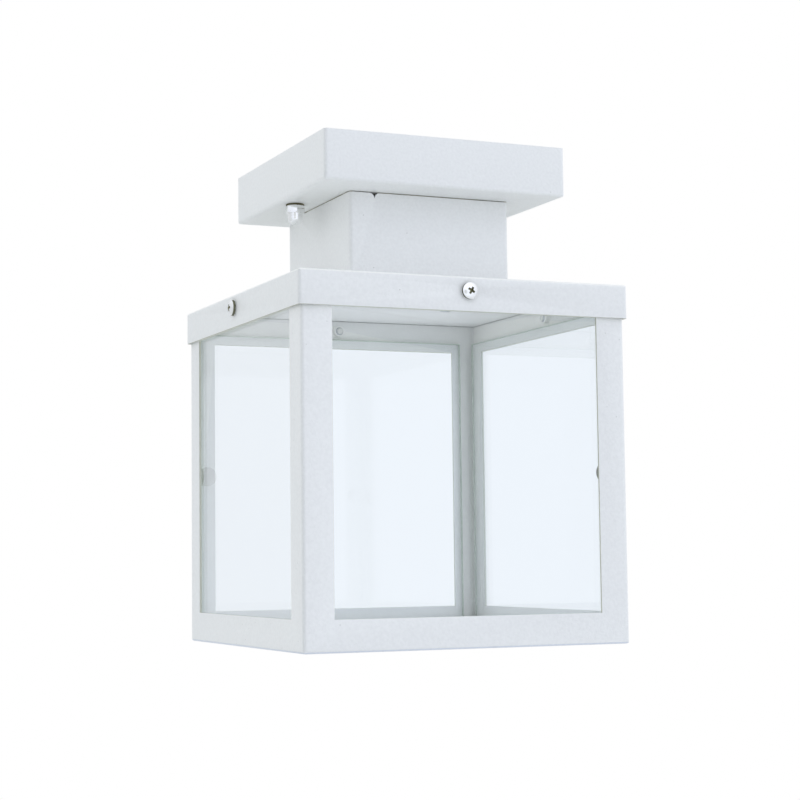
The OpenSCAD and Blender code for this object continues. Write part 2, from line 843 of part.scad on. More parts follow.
// Slotted clamp screw with its tip at 0 and its head's top at h
module clamp_screw(h, head_h) {
  difference() {
    union() {
      cylinder(h = h - head_h / 2, r = clamp_r);
      translate([0, 0, h - head_h]) cylinder(h = head_h, r = clamp_head_r);
    }
    translate([0, 0, h]) cube([2 * clamp_head_r + over, clamp_slot[0], 2 * clamp_slot[1]], center = true);
  }
}

// Clamp screws that stand on the wires in the holder's terminals
module holder_terminal_screws() {
  tip = holder_top_z + terminal_hole_up + wire_r;
  top = holder_top_z + terminal_h + clamp_low_head_h;
  color("silver") for (s = [-1, 1]) translate([0, s * terminal_y, tip])
    clamp_screw(top - tip, clamp_low_head_h);
}

// ---------- terminal block and wiring ----------

// Puts its children at each pole of the terminal block
module poles() {
  for (i = [-1:1]) translate([i * pole_pitch, block_y, 0]) children();
}

module terminal_block() {
  color("whitesmoke") difference() {
    union() {
      translate([block_side - 1.5 * pole_pitch, block_y - block_d / 2, plate_z])
        cube([3 * pole_pitch - 2 * block_side, block_d, block_h]);
      poles() for (s = [-1, 1]) translate([0, s * tower_off, plate_z])
        cylinder(h = block_top, r = tower_r);
    }
    poles() {
      translate([0, 0, pole_z]) rotate([90, 0, 0])
        cylinder(h = block_d + 2 * over, r = tube_r + tube_play, center = true);
      for (s = [-1, 1]) translate([0, s * tower_off, pole_z])
        cylinder(h = block_top, r = clamp_head_r + tube_play);
    }
    for (i = [-0.5, 0.5]) translate([i * pole_pitch, block_y, plate_z - over])
      cylinder(h = block_h + 2 * over, r = m3[0] + thread_play);
  }
}

module terminal_tubes() {
  color("goldenrod") poles() translate([0, 0, pole_z]) difference() {
    rotate([90, 0, 0]) cylinder(h = block_d - 2 * tube_short, r = tube_r, center = true);
    rotate([90, 0, 0]) cylinder(h = block_d + over, r = tube_in_r, center = true);
    for (s = [-1, 1]) translate([0, s * tower_off, 0]) cylinder(h = tube_r + over, r = clamp_r + tube_play);
  }
}

module terminal_screws() {
  tip = tube_in_r - clamp_slot[1];
  top = tube_r + tube_over + clamp_head_h;
  color("silver") poles() for (s = [-1, 1]) translate([0, s * tower_off, pole_z + tip])
    clamp_screw(top - tip, clamp_head_h);
}

module block_screw() {
  color("silver") translate([pole_pitch / 2, block_y, plate_z + block_h])
    small_screw(m3, block_h + sheet_t + m3[4] + nut_show, block_screw_turn);
}

module block_nut() {
  color("silver") translate([pole_pitch / 2, block_y, canopy_z]) mirror([0, 0, 1])
    hex_nut(m3[3], m3[4], m3[0] + thread_play);
}

module earth_screw() {
  color("silver") translate([earth_x, earth_y, plate_z + lug_t])
    small_screw(m4, lug_t + sheet_t + m4[4] + nut_show, earth_screw_turn);
}

module earth_nut() {
  color("silver") translate([earth_x, earth_y, canopy_z]) mirror([0, 0, 1])
    hex_nut(m4[3], m4[4], m4[0] + thread_play);
}

module earth_lug() {
  barrel_y = -lug_reach;
  color("goldenrod") translate([earth_x, earth_y, plate_z]) difference() {
    union() {
      cylinder(h = lug_t, r = m4[1]);
      translate([-lug_tube_r, barrel_y + lug_tube_l - lug_wall_end, 0])
        cube([2 * lug_tube_r, lug_reach - lug_tube_l + lug_wall_end, lug_t]);
      translate([0, barrel_y, lug_tube_r]) rotate([-90, 0, 0]) cylinder(h = lug_tube_l, r = lug_tube_r);
    }
    translate([0, 0, -over]) cylinder(h = lug_t + 2 * over, r = m4[0] + thread_play);
    translate([0, barrel_y - over, lug_tube_r]) rotate([-90, 0, 0])
      cylinder(h = lug_tube_l - lug_wall_end + over, r = wire_r + thread_play);
  }
}

// Point on a cubic curve through four control points
function curve_point(p, t) =
  p[0] * pow(1 - t, 3) + 3 * p[1] * pow(1 - t, 2) * t + 3 * p[2] * (1 - t) * t * t + p[3] * pow(t, 3);

// Points along a chain of cubic curves, without repeats
function route(curves, steps) =
  concat([curves[0][0]], [for (c = curves) for (i = [1:steps]) curve_point(c, i / steps)]);

function unit(v) = v / norm(v);

// Direction of a route at point i
function heading(pts, i) =
  unit(pts[min(i + 1, len(pts) - 1)] - pts[max(i - 1, 0)]);

// Round tube along a route; side is a direction that the route never takes
module tube_along(pts, r, side, sides = 8) {
  n = len(pts);
  rings = [for (i = [0:n - 1])
    let (d = heading(pts, i), u = unit(cross(d, side)), v = cross(u, d))
      for (k = [0:sides - 1]) pts[i] + r * (cos(360 * k / sides) * u + sin(360 * k / sides) * v)];
  walls = [for (i = [0:n - 2], k = [0:sides - 1], half = [0, 1])
    let (a = i * sides + k, b = i * sides + (k + 1) % sides)
      half == 0 ? [a, b, b + sides] : [a, b + sides, a + sides]];
  first = [for (k = [1:sides - 2]) [0, k + 1, k]];
  last = [for (k = [1:sides - 2]) (n - 1) * sides * [1, 1, 1] + [0, k, k + 1]];
  polyhedron(rings, concat(walls, first, last));
}

// Wire from a pole of the block, through the grommet, to a terminal of the holder
module lamp_wire(pole, hole_x, terminal_side) {
  wire_front = block_y - block_d / 2 + wire_in_tube;
  start = [pole * pole_pitch, wire_front, pole_z];
  top = [hole_x, 0, plate_z + 3.2];
  low = [hole_x, 0, strap_z - 0.6];
  end_z = holder_top_z + terminal_hole_up;
  end = [0, terminal_side * (terminal_y - 0.5), end_z];
  tube_along(route([
    [start, start - [0, 9, 0], top + [0, 0, 7], top],
    [top, top - [0, 0, 2], low + [0, 0, 2], low],
    [low, low - [0, 0, low[2] - end_z + 0.6], [hole_x / 2, terminal_side * 3, end_z], end]
  ], 6), wire_r - thread_play, [1, 0.02, 0.01]);
}

module live_wire() { color("saddlebrown") lamp_wire(-1, -wire_r - wire_apart, -1); }

module neutral_wire() { color("steelblue") lamp_wire(0, wire_r + wire_apart, 1); }

module earth_wire() {
  start = [pole_pitch, block_y - block_d / 2 + wire_in_tube, pole_z];
  mouth = [earth_x, earth_y - lug_reach, plate_z + lug_tube_r];
  end = mouth + [0, lug_tube_l - 1.5, 0];
  color("yellowgreen") tube_along(route([
    [start, start - [0, 20, -5], mouth - [0, 14, 0], mouth - [0, 0.5, 0]],
    [mouth - [0, 0.5, 0], mouth, end, end]
  ], 12), wire_r - thread_play, [0.01, 0.02, 1]);
}

// ---------- drawing ----------

mounting_bracket();
bracket_studs();
stud_lock_nuts();
ceiling_pan();
neck();
neck_rivets();
roof_rivets();
roof();
cage_front_left();
cage_back_right();
glass_front();
glass_left();
glass_back();
glass_right();
glass_dabs();
roof_screw_front();
roof_screw_left();
roof_screw_back();
roof_screw_right();
acorn_nut_left();
acorn_nut_right();
acorn_washers();
wire_grommet();
holder_strap();
strap_screws();
strap_nuts();
holder_body();
holder_side_screws();
holder_shell();
holder_contact();
holder_terminals();
holder_terminal_screws();
terminal_block();
terminal_tubes();
terminal_screws();
block_screw();
block_nut();
earth_screw();
earth_nut();
earth_lug();
live_wire();
neutral_wire();
earth_wire();
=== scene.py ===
import json
import math

import bmesh
import bpy
from mathutils import Matrix, Vector

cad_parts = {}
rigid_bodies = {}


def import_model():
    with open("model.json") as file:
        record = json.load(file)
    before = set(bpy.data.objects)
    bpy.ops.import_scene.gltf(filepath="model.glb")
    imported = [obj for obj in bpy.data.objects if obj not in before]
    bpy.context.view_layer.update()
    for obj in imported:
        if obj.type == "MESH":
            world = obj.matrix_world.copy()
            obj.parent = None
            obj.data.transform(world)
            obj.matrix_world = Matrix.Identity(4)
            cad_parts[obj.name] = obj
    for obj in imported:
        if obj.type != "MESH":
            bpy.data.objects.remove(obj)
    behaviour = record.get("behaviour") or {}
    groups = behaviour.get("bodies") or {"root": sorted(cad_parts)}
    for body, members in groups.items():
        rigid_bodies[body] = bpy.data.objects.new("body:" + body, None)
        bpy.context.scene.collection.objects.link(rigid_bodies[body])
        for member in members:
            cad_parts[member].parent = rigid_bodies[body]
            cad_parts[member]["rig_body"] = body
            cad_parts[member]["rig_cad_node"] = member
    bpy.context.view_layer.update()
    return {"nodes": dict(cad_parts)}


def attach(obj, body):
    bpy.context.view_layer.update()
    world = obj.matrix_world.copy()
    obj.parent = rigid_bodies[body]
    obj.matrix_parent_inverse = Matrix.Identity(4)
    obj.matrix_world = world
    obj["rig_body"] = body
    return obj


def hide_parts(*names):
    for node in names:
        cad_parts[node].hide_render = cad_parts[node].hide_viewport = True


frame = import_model()
nodes = frame["nodes"]

MM = 0.001


# ---------- the maker's hands; every length is in millimetres ----------

def lay_down():
    """Nothing is held, and no piece is in edit mode."""
    if bpy.context.object and bpy.context.object.mode != "OBJECT":
        bpy.ops.object.mode_set(mode="OBJECT")
    bpy.ops.object.select_all(action="DESELECT")


def take_up(piece):
    lay_down()
    piece.select_set(True)
    bpy.context.view_layer.objects.active = piece
    return piece


def edit(piece, select="DESELECT"):
    take_up(piece)
    bpy.ops.object.mode_set(mode="EDIT")
    bpy.ops.mesh.select_all(action=select)


def done():
    bpy.ops.object.mode_set(mode="OBJECT")


def pick(piece, kind, wanted):
    """In edit mode, selects the faces or edges that the test wants."""
    bpy.ops.mesh.select_mode(type=kind)
    bpy.ops.mesh.select_all(action="DESELECT")
    bm = bmesh.from_edit_mesh(piece.data)
    for part in (bm.faces if kind == "FACE" else bm.edges):
        if wanted(part):
            part.select_set(True)
    bmesh.update_edit_mesh(piece.data)


def named(name):
    piece = bpy.context.object
    piece.name = piece.data.name = name
    return piece


def settle(piece):
    """The piece's place goes into its mesh, and its object sits at the origin."""
    take_up(piece)
    bpy.ops.object.transform_apply(location=True, rotation=True, scale=True)
    return piece


def block(name, low, high):
    """Block between two corners."""
    lay_down()
    middle = [(a + b) / 2 * MM for a, b in zip(low, high)]
    bpy.ops.mesh.primitive_cube_add(size=1, location=middle)
    piece = named(name)
    piece.scale = [(b - a) * MM for a, b in zip(low, high)]
    return settle(piece)


def turned(name, rings, sides, hollow=False):
    """Turned form about Z: a circle drawn up through rings of (radius, height)."""
    r, z = rings[0]
    lay_down()
    bpy.ops.mesh.primitive_circle_add(vertices=sides, radius=r * MM, location=(0, 0, z * MM),
                                      fill_type="NOTHING" if hollow else "NGON")
    piece = settle(named(name))
    edit(piece, "SELECT")
    for r2, z2 in rings[1:]:
        drawn = {"value": (0, 0, (z2 - z) * MM)}
        if hollow:
            bpy.ops.mesh.extrude_edges_move(TRANSFORM_OT_translate=drawn)
        else:
            bpy.ops.mesh.extrude_region_move(TRANSFORM_OT_translate=drawn)
        bpy.ops.transform.resize(value=(r2 / r, r2 / r, 1), center_override=(0, 0, z2 * MM))
        r, z = r2, z2
    if hollow:
        pick(piece, "EDGE", lambda e: e.is_boundary)
        bpy.ops.mesh.bridge_edge_loops()
    bpy.ops.mesh.select_all(action="SELECT")
    bpy.ops.mesh.normals_make_consistent(inside=False)
    done()
    return piece


def rounded(centre, radius, start, end, steps):
    """Rings of a round edge in the section, from one angle to another."""
    angles = [math.radians(start + (end - start) * i / steps) for i in range(steps + 1)]
    return [(centre[0] + radius * math.cos(a), centre[1] + radius * math.sin(a)) for a in angles]


def worked(piece, kind, **settings):
    """Adds a modifier to the piece and applies it."""
    take_up(piece)
    modifier = piece.modifiers.new(kind.title(), kind)
    for key, value in settings.items():
        setattr(modifier, key, value)
    bpy.ops.object.modifier_apply(modifier=modifier.name)
    return piece


def cut(piece, tool, operation="DIFFERENCE"):
    """Cuts the piece with a tool, which is used up."""
    worked(piece, "BOOLEAN", object=tool, operation=operation, solver="EXACT")
    take_up(tool)
    bpy.ops.object.delete()
    return piece


def smooth(piece, degrees=30):
    take_up(piece)
    bpy.ops.object.shade_smooth_by_angle(angle=math.radians(degrees))
    return piece


def broken(piece, width, degrees, segments=2):
    """Takes the sharpness off the edges and shades the faces."""
    worked(piece, "BEVEL", width=width * MM, segments=segments, limit_method="ANGLE",
           angle_limit=math.radians(degrees), use_clamp_overlap=True)
    return smooth(piece)


def joined(name, pieces):
    take_up(pieces[0])
    for piece in pieces[1:]:
        piece.select_set(True)
    if len(pieces) > 1:
        bpy.ops.object.join()
    return named(name)


def copied(piece, name, matrix):
    """A copy with its own mesh, set in place."""
    twin = piece.copy()
    twin.data = piece.data.copy()
    twin.name = twin.data.name = name
    bpy.context.scene.collection.objects.link(twin)
    twin.matrix_world = matrix
    return settle(twin)


def put_away(piece):
    take_up(piece)
    bpy.ops.object.delete()


def at(x, y, z):
    return Matrix.Translation((x * MM, y * MM, z * MM))


def about(axis, degrees):
    return Matrix.Rotation(math.radians(degrees), 4, axis)


def dressed(piece, coat, body, slot, *stands_for):
    """Gives the piece its finish, the body it rides on, and the solids it stands for."""
    if coat:
        piece.data.materials.clear()
        piece.data.materials.append(coat)
    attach(piece, body)
    if stands_for:
        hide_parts(*stands_for)
    return piece


# ---------- shared effects ----------

NUMBER, DIRECTION = "NodeSocketFloat", "NodeSocketVector"


def effect(name, inputs, outputs):
    """A node group, and the nodes that its inputs come from and its outputs go to."""
    group = bpy.data.node_groups.new(name, "ShaderNodeTree")
    for label, kind, value in inputs:
        socket = group.interface.new_socket(name=label, in_out="INPUT", socket_type=kind)
        socket.default_value = value
    for label, kind in outputs:
        group.interface.new_socket(name=label, in_out="OUTPUT", socket_type=kind)
    return group, group.nodes.new("NodeGroupInput"), group.nodes.new("NodeGroupOutput")


def wire(tree, start, end):
    tree.links.new(start, end)


def node(tree, kind, values=(), **settings):
    """A shader node; a value is a constant, or an output of another node that is wired to it."""
    made = tree.nodes.new(kind)
    for key, value in settings.items():
        setattr(made, key, value)
    for key, value in dict(values).items():
        if isinstance(value, bpy.types.NodeSocket):
            wire(tree, value, made.inputs[key])
        else:
            made.inputs[key].default_value = value
    return made


def calculated(tree, operation, *values):
    return node(tree, "ShaderNodeMath", dict(enumerate(values)), operation=operation).outputs[0]


def place_in(tree, space="Object"):
    return node(tree, "ShaderNodeTexCoord").outputs[space]


def noise(tree, place, scale, detail, rough):
    """Mask of soft noise."""
    values = {"Vector": place, "Scale": scale, "Detail": detail, "Roughness": rough}
    return node(tree, "ShaderNodeTexNoise", values).outputs["Fac"]


def make_orange_peel():
    """Soft waves of a baked powder coat, with its fine grain and rare specks; the size is in metres."""
    g, i, o = effect("orange_peel", [("Size", NUMBER, 1.4 * MM), ("Grain", NUMBER, 0.3)],
                     [("Height", NUMBER), ("Mottle", NUMBER), ("Specks", NUMBER)])
    place = place_in(g)
    waves = noise(g, place, calculated(g, "DIVIDE", 1.0, i.outputs["Size"]), 2.0, 0.45)
    grain = noise(g, place, 3200.0, 2.0, 0.6)
    wire(g, calculated(g, "MULTIPLY_ADD", grain, i.outputs["Grain"], waves), o.inputs["Height"])
    wire(g, noise(g, place, 45.0, 3.0, 0.55), o.inputs["Mottle"])
    cells = node(g, "ShaderNodeTexVoronoi", {"Vector": place, "Scale": 420.0, "Randomness": 1.0})
    rare = node(g, "ShaderNodeSeparateColor", {"Color": cells.outputs["Color"]})
    few = calculated(g, "GREATER_THAN", rare.outputs[0], 0.975)
    near = calculated(g, "LESS_THAN", cells.outputs["Distance"], 0.11)
    wire(g, calculated(g, "MULTIPLY", few, near), o.inputs["Specks"])
    return g


def make_brushing():
    """Drawn or rolled lines along one axis, with faint clouding."""
    g, i, o = effect("brushing", [("Along", DIRECTION, (20.0, 900.0, 900.0))],
                     [("Lines", NUMBER), ("Clouds", NUMBER)])
    place = place_in(g)
    stretch = node(g, "ShaderNodeVectorMath", {0: place, 1: i.outputs["Along"]}, operation="MULTIPLY")
    wire(g, noise(g, stretch.outputs[0], 1.0, 4.0, 0.65), o.inputs["Lines"])
    wire(g, noise(g, place, 160.0, 4.0, 0.6), o.inputs["Clouds"])
    return g


ORANGE_PEEL = make_orange_peel()
BRUSHING = make_brushing()


# ---------- finishes ----------

def finish(name, color, rough, metal=0.0, **sockets):
    """A material with its Principled shader; constants sit on the shader's own sockets."""
    m = bpy.data.materials.new(name)
    m.use_nodes = True
    tree = m.node_tree
    shader = tree.nodes["Principled BSDF"]
    shader.inputs["Base Color"].default_value = (*color, 1)
    shader.inputs["Roughness"].default_value = rough
    shader.inputs["Metallic"].default_value = metal
    for label, value in sockets.items():
        shader.inputs[label.replace("_", " ")].default_value = value
    return m, tree, shader


def placed(tree, group, values):
    """The outputs of a shared effect with these values."""
    return node(tree, "ShaderNodeGroup", values, node_tree=group).outputs


def span(tree, source, low, high, start=0.3, end=0.7, **settings):
    """Maps a mask from start..end to low..high."""
    values = {"Value": source, "From Min": start, "From Max": end, "To Min": low, "To Max": high}
    return node(tree, "ShaderNodeMapRange", values, **settings).outputs["Result"]


def blend(tree, mask, first, second, **settings):
    """Mixes two colours by a mask; each is a colour or a socket. A Mix node has them at 6, 7 and 2."""
    first, second = ((*color, 1) if isinstance(color, tuple) else color for color in (first, second))
    values = {0: mask, 6: first, 7: second}
    return node(tree, "ShaderNodeMix", values, data_type="RGBA", **settings).outputs[2]


def mixed(tree, mask, first, second):
    """Mixes two shaders by a mask."""
    return node(tree, "ShaderNodeMixShader", {0: mask, 1: first, 2: second}).outputs[0]


def light_through(tree, shader, tint):
    """Lets shadow and diffuse rays straight through a clear thing, a little tinted."""
    clear = node(tree, "ShaderNodeBsdfTransparent", {"Color": (*tint, 1)}).outputs[0]
    light = node(tree, "ShaderNodeLightPath").outputs
    soft = calculated(tree, "MAXIMUM", light["Is Shadow Ray"], light["Is Diffuse Ray"])
    surface = tree.nodes["Material Output"].inputs["Surface"]
    wire(tree, mixed(tree, soft, shader.outputs[0], clear), surface)


def relief(tree, shader, height, depth, strength):
    """Fine relief by a height mask; the depth is in metres."""
    bump = node(tree, "ShaderNodeBump", {"Strength": strength, "Distance": depth, "Height": height})
    wire(tree, bump.outputs["Normal"], shader.inputs["Normal"])


# The last colour is painted shade, olive, for a coat's joints.
WHITE, SPECK, JOINT_SHADE = (0.89, 0.902, 0.884), (0.66, 0.67, 0.64), (0.47, 0.43, 0.22)
HOLLOW_TONE, CREST_TONE = 0.975, 1.025           # of the coat's waves


def make_powder_coat(name, joint_shade=False, shade=(1, 1, 1)):
    """White powder coat with its soft waves, grain and few dark specks. Its colour is scaled by shade, mostly
    to paint light or shade into it; with its flag set, shade is painted into its joints by an occlusion mask.
    """
    m, t, s = finish(name, WHITE, 0.4)
    peel = placed(t, ORANGE_PEEL, {"Size": 1.3 * MM, "Grain": 0.45})
    hollow, crest = (tuple(k * part * c for part, c in zip(shade, WHITE)) for k in (HOLLOW_TONE, CREST_TONE))
    tone = blend(t, span(t, peel["Height"], 0, 1, 0.5, 0.95), hollow, crest)
    coat = blend(t, peel["Specks"], tone, SPECK)
    if joint_shade:
        # Painted shade: olive where the joints occlude the coat.
        crevice = node(t, "ShaderNodeAmbientOcclusion", {"Distance": 0.9 * MM}, samples=6)
        coat = blend(t, span(t, crevice.outputs["AO"], 1, 0, 0.1, 0.5), coat, JOINT_SHADE)
    wire(t, coat, s.inputs["Base Color"])
    wire(t, span(t, peel["Mottle"], 0.36, 0.46), s.inputs["Roughness"])
    relief(t, s, peel["Height"], 0.13 * MM, 0.8)
    return m


def make_clear_glass():
    """Clear glass, a little hazed here and there."""
    m, t, s = finish("clear_glass", (0.925, 0.955, 0.985), 0.0, Transmission_Weight=1.0, IOR=1.5)
    haze = noise(t, place_in(t), 60.0, 5.0, 0.65)
    wire(t, span(t, haze, 0.0, 0.05, 0.62, 0.8), s.inputs["Roughness"])
    light_through(t, s, (1.0, 0.995, 0.985))
    return m


def make_clear_sealant(name, face_on_color, edge_on_shade, cover):
    """Clear silicone with a soft, slightly uneven skin; seen edge on it is thicker, so it covers more, and
    its colour turns darker, which is painted shade.
    """
    m, t, s = finish(name, face_on_color, 0.15, IOR=1.4)
    skin = noise(t, place_in(t), 420.0, 2.0, 0.5)
    wire(t, span(t, skin, 0.1, 0.22), s.inputs["Roughness"])
    edge = node(t, "ShaderNodeLayerWeight", {"Blend": 0.5})
    edge_on = span(t, edge.outputs["Facing"], 0, 1, 0.35, 0.95)
    # Painted shade: the colour turns darker seen edge on.
    wire(t, blend(t, edge_on, face_on_color, edge_on_shade), s.inputs["Base Color"])
    wire(t, span(t, edge_on, *cover, 0, 1), s.inputs["Alpha"])
    relief(t, s, skin, 0.1 * MM, 0.35)
    light_through(t, s, (0.97, 0.97, 0.95))
    return m


def make_ground_edge():
    """Edge of a pane, ground along its length."""
    m, t, s = finish("ground_glass_edge", (0.56, 0.66, 0.58), 0.35, Transmission_Weight=0.35, IOR=1.5)
    lines = placed(t, BRUSHING, {"Along": (60.0, 60.0, 2600.0)})["Lines"]
    tone = blend(t, span(t, lines, 0, 1), (0.42, 0.52, 0.43), (0.66, 0.76, 0.68))
    wire(t, tone, s.inputs["Base Color"])
    relief(t, s, lines, 0.05 * MM, 0.6)
    return m


def make_metal(name, color, dark, rough, along, strength, metal=1.0):
    """Brushed metal; along tells how close its lines lie on each axis."""
    m, t, s = finish(name, color, rough, metal)
    brush = placed(t, BRUSHING, {"Along": along})
    wire(t, blend(t, span(t, brush["Clouds"], 0, 1), dark, color), s.inputs["Base Color"])
    wire(t, span(t, brush["Clouds"], rough * 1.35, rough * 0.8), s.inputs["Roughness"])
    relief(t, s, brush["Lines"], 0.03 * MM, strength)
    return m


def make_plain(name, color, dark, rough, depth, size=900.0, **sockets):
    """Rubber, plastic or glaze: a fine grain of this depth, and faint clouding."""
    m, t, s = finish(name, color, rough, **sockets)
    place = place_in(t)
    grain = noise(t, place, size, 3.0, 0.6)
    clouds = noise(t, place, 110.0, 4.0, 0.6)
    wire(t, blend(t, span(t, clouds, 0, 1), dark, color), s.inputs["Base Color"])
    wire(t, span(t, clouds, rough * 1.2, rough * 0.85), s.inputs["Roughness"])
    relief(t, s, grain, depth, 0.5)
    return m


POWDER = make_powder_coat("white_powder_coat")
# Coat with painted shade in its joints.
POWDER_JOINT_SHADED = make_powder_coat("white_powder_coat_with_painted_shade_at_seams", joint_shade=True)
# Painted light: the neck's coat is a little lighter, and has painted shade in its joints.
POWDER_NECK_LIT = make_powder_coat("white_powder_coat_painted_lighter_on_neck", joint_shade=True, shade=(1.03, 1.025, 1.03))
# Painted shade on the roof's lower cut edges, where the coat is also thin.
POWDER_THIN_SHADED = make_powder_coat("thin_powder_coat_with_painted_shade_on_cut_edges", shade=(0.58, 0.59, 0.49))
# The cut edges of the cage's windows are coated darker.
POWDER_WINDOW_DARKER = make_powder_coat("darker_powder_coat_on_window_edges", shade=(0.68, 0.7, 0.62))
# Painted highlight: lighter coat on the roof's upper fold.
POWDER_FOLD_HIGHLIGHT = make_powder_coat("powder_coat_with_painted_highlight_on_folds", shade=(1.09, 1.08, 1.06))
POWDER_FOOT = make_powder_coat("shaded_powder_coat_at_foot", shade=(0.8, 0.84, 0.93))
# Painted light: lighter coat inside the cage above its windows.
POWDER_INSIDE_LIT = make_powder_coat("powder_coat_with_painted_light_inside", shade=(1.1, 1.09, 1.07))
# Painted shade: darker, warmer coat in the channel inside the cage's foot.
POWDER_CHANNEL_SHADE = make_powder_coat("powder_coat_with_painted_warm_shade_in_channel", shade=(0.96, 0.95, 0.87))
GLASS = make_clear_glass()
GLASS_EDGE = make_ground_edge()
BRIGHT = make_metal("bright_nickel_plate", (0.95, 0.955, 0.955), (0.87, 0.875, 0.87), 0.13,
                    (300.0, 300.0, 300.0), 0.1)
ZINC = make_metal("zinc_plate", (0.62, 0.65, 0.68), (0.48, 0.5, 0.52), 0.33, (25.0, 1100.0, 1100.0), 0.25)
BRASS = make_metal("brass", (0.83, 0.62, 0.3), (0.7, 0.48, 0.2), 0.24, (900.0, 900.0, 40.0), 0.15)
RUBBER = make_plain("black_rubber", (0.03, 0.03, 0.03), (0.015, 0.015, 0.015), 0.62, 0.05 * MM)
WASHER_RUBBER = make_plain("dark_washer_rubber", (0.15, 0.135, 0.06), (0.09, 0.08, 0.035), 0.6, 0.05 * MM)
PORCELAIN = make_plain("glazed_porcelain", (0.85, 0.84, 0.79), (0.8, 0.79, 0.73), 0.18, 0.02 * MM, 300.0,
                       Coat_Weight=0.6, Coat_Roughness=0.05)
NYLON = make_plain("natural_nylon", (0.8, 0.8, 0.74), (0.72, 0.72, 0.66), 0.4, 0.03 * MM)
# Clear sealant whose rim, seen edge on, is painted darker as shade.
SEALANT = make_clear_sealant("clear_sealant", (0.82, 0.84, 0.82), (0.38, 0.4, 0.31), (0.12, 0.8))
# Painted shade: dark, nearly opaque sealant for the shaded edge of a dab.
SEALANT_SHADE = make_clear_sealant("sealant_with_painted_shade", (0.15, 0.165, 0.1), (0.13, 0.145, 0.09), (0.85, 0.95))
EVEN = (700.0, 700.0, 700.0)                     # brushing with no direction of its own
# Painted shade for the recesses of screw heads.
RECESS_SHADE = make_metal("plate_with_painted_shade_in_recess", (0.42, 0.41, 0.27), (0.3, 0.3, 0.18), 0.5, EVEN, 0.3, 0.7)
SCREW_END = make_metal("pale_plate", (0.84, 0.85, 0.82), (0.74, 0.75, 0.71), 0.5, EVEN, 0.3, 0.25)
# Painted shade and reflection for the side of a pan head's rim.
RIM_SHADE = make_metal("plate_with_painted_shade_on_rim", (0.24, 0.24, 0.17), (0.14, 0.14, 0.09), 0.45, EVEN, 0.3)
COPPER = make_metal("bare_copper", (0.85, 0.45, 0.3), (0.7, 0.34, 0.22), 0.3, (1400.0, 300.0, 1400.0), 0.6)
BROWN = make_plain("brown_insulation", (0.17, 0.07, 0.03), (0.12, 0.045, 0.02), 0.38, 0.02 * MM)
BLUE = make_plain("blue_insulation", (0.05, 0.2, 0.52), (0.03, 0.14, 0.4), 0.38, 0.02 * MM)
GREEN = make_plain("green_insulation", (0.12, 0.36, 0.06), (0.08, 0.27, 0.04), 0.38, 0.02 * MM)
YELLOW = make_plain("yellow_stripe", (0.82, 0.66, 0.05), (0.7, 0.55, 0.03), 0.38, 0.02 * MM)

COATS = (
    (ZINC, "mounting_bracket bracket_studs stud_lock_nuts neck_rivets roof_rivets holder_strap strap_screws "
           "strap_nuts holder_side_screws holder_terminal_screws terminal_screws block_screw block_nut "
           "earth_screw earth_nut"),
    (BRIGHT, "roof_screw_front roof_screw_left roof_screw_back roof_screw_right acorn_nut_left "
             "acorn_nut_right"),
    (POWDER, "roof cage_front_left cage_back_right"), (POWDER_JOINT_SHADED, "ceiling_pan"), (POWDER_NECK_LIT, "neck"),
    (GLASS, "glass_front glass_left glass_back glass_right"), (SEALANT, "glass_dabs"),
    (BRASS, "holder_shell holder_contact holder_terminals terminal_tubes earth_lug"),
    (WASHER_RUBBER, "acorn_washers"), (RUBBER, "wire_grommet"), (PORCELAIN, "holder_body"),
    (NYLON, "terminal_block"), (BROWN, "live_wire"), (BLUE, "neutral_wire"), (GREEN, "earth_wire"),
)
CAD_FINISH = {name: coat for coat, names in COATS for name in names.split()}
for name, coat in CAD_FINISH.items():
    nodes[name].data.materials.clear()
    nodes[name].data.materials.append(coat)


# ---------- sizes that the pieces share with the solids ----------

SHEET_T = 1.0
BAR_T = 1.5
CEILING_PAN = -23.0              # underside of the ceiling pan
PLATE = CEILING_PAN + SHEET_T    # upper face of the ceiling pan's floor
STRAP = CEILING_PAN - 1.2        # underside of the lamp holder's strap
ROOF_TOP = -66.0
ROOF_UNDER = ROOF_TOP - SHEET_T
SKIRT_FOOT = -81.5
CAGE_FOOT = -228.7
BORDER = 14.2                    # of the cage's walls, round each window
WINDOW_TOP = -81.5
PAN_OUT, NECK_OUT, ROOF_OUT, CAGE_OUT = 59.8, 40.0, 80.0, 78.5
WALL = CAGE_OUT - SHEET_T        # inner face of the cage's walls

# Roof screws: turn about Z from +X, sideways place, turn of the recess
ROOF_SCREWS = {"front": (270, 0, 60), "left": (180, -6, 5), "back": (90, 0, 35), "right": (0, -6, 70)}
ROOF_SCREW_SEAT, ROOF_SCREW_Z = 80.05, -72.5
STUD_X, STUD_R, STUD_TOP, STUD_FOOT = 51.5, 2.5, -0.2, -30.3
WASHER_T = 0.8
SEAT_PLAY = 0.05                 # under the head of what screws off
ACORN_TURN = 22
RIVET_ALONG, TAB_MID = 20, 34.5  # along a tab of the neck, and out to its middle

# Screws: head's width and height, shank's radius, pitch. Nuts: width, height, bore
ROOF_SCREW, M4, M3 = (7.4, 2.5, 2.0, 0.7), (7.8, 2.6, 2.0, 0.7), (5.6, 2.0, 1.5, 0.5)
M5_NUT, M4_NUT, M3_NUT = (8.0, 4.0, 2.55), (7.0, 3.2, 2.05), (5.5, 2.4, 1.55)
ACORN_NUT = (8.0, 3.6, 2.55, (3.65, 9.2))    # and its dome's radius and total height
ACORN_HOLE = 7.4

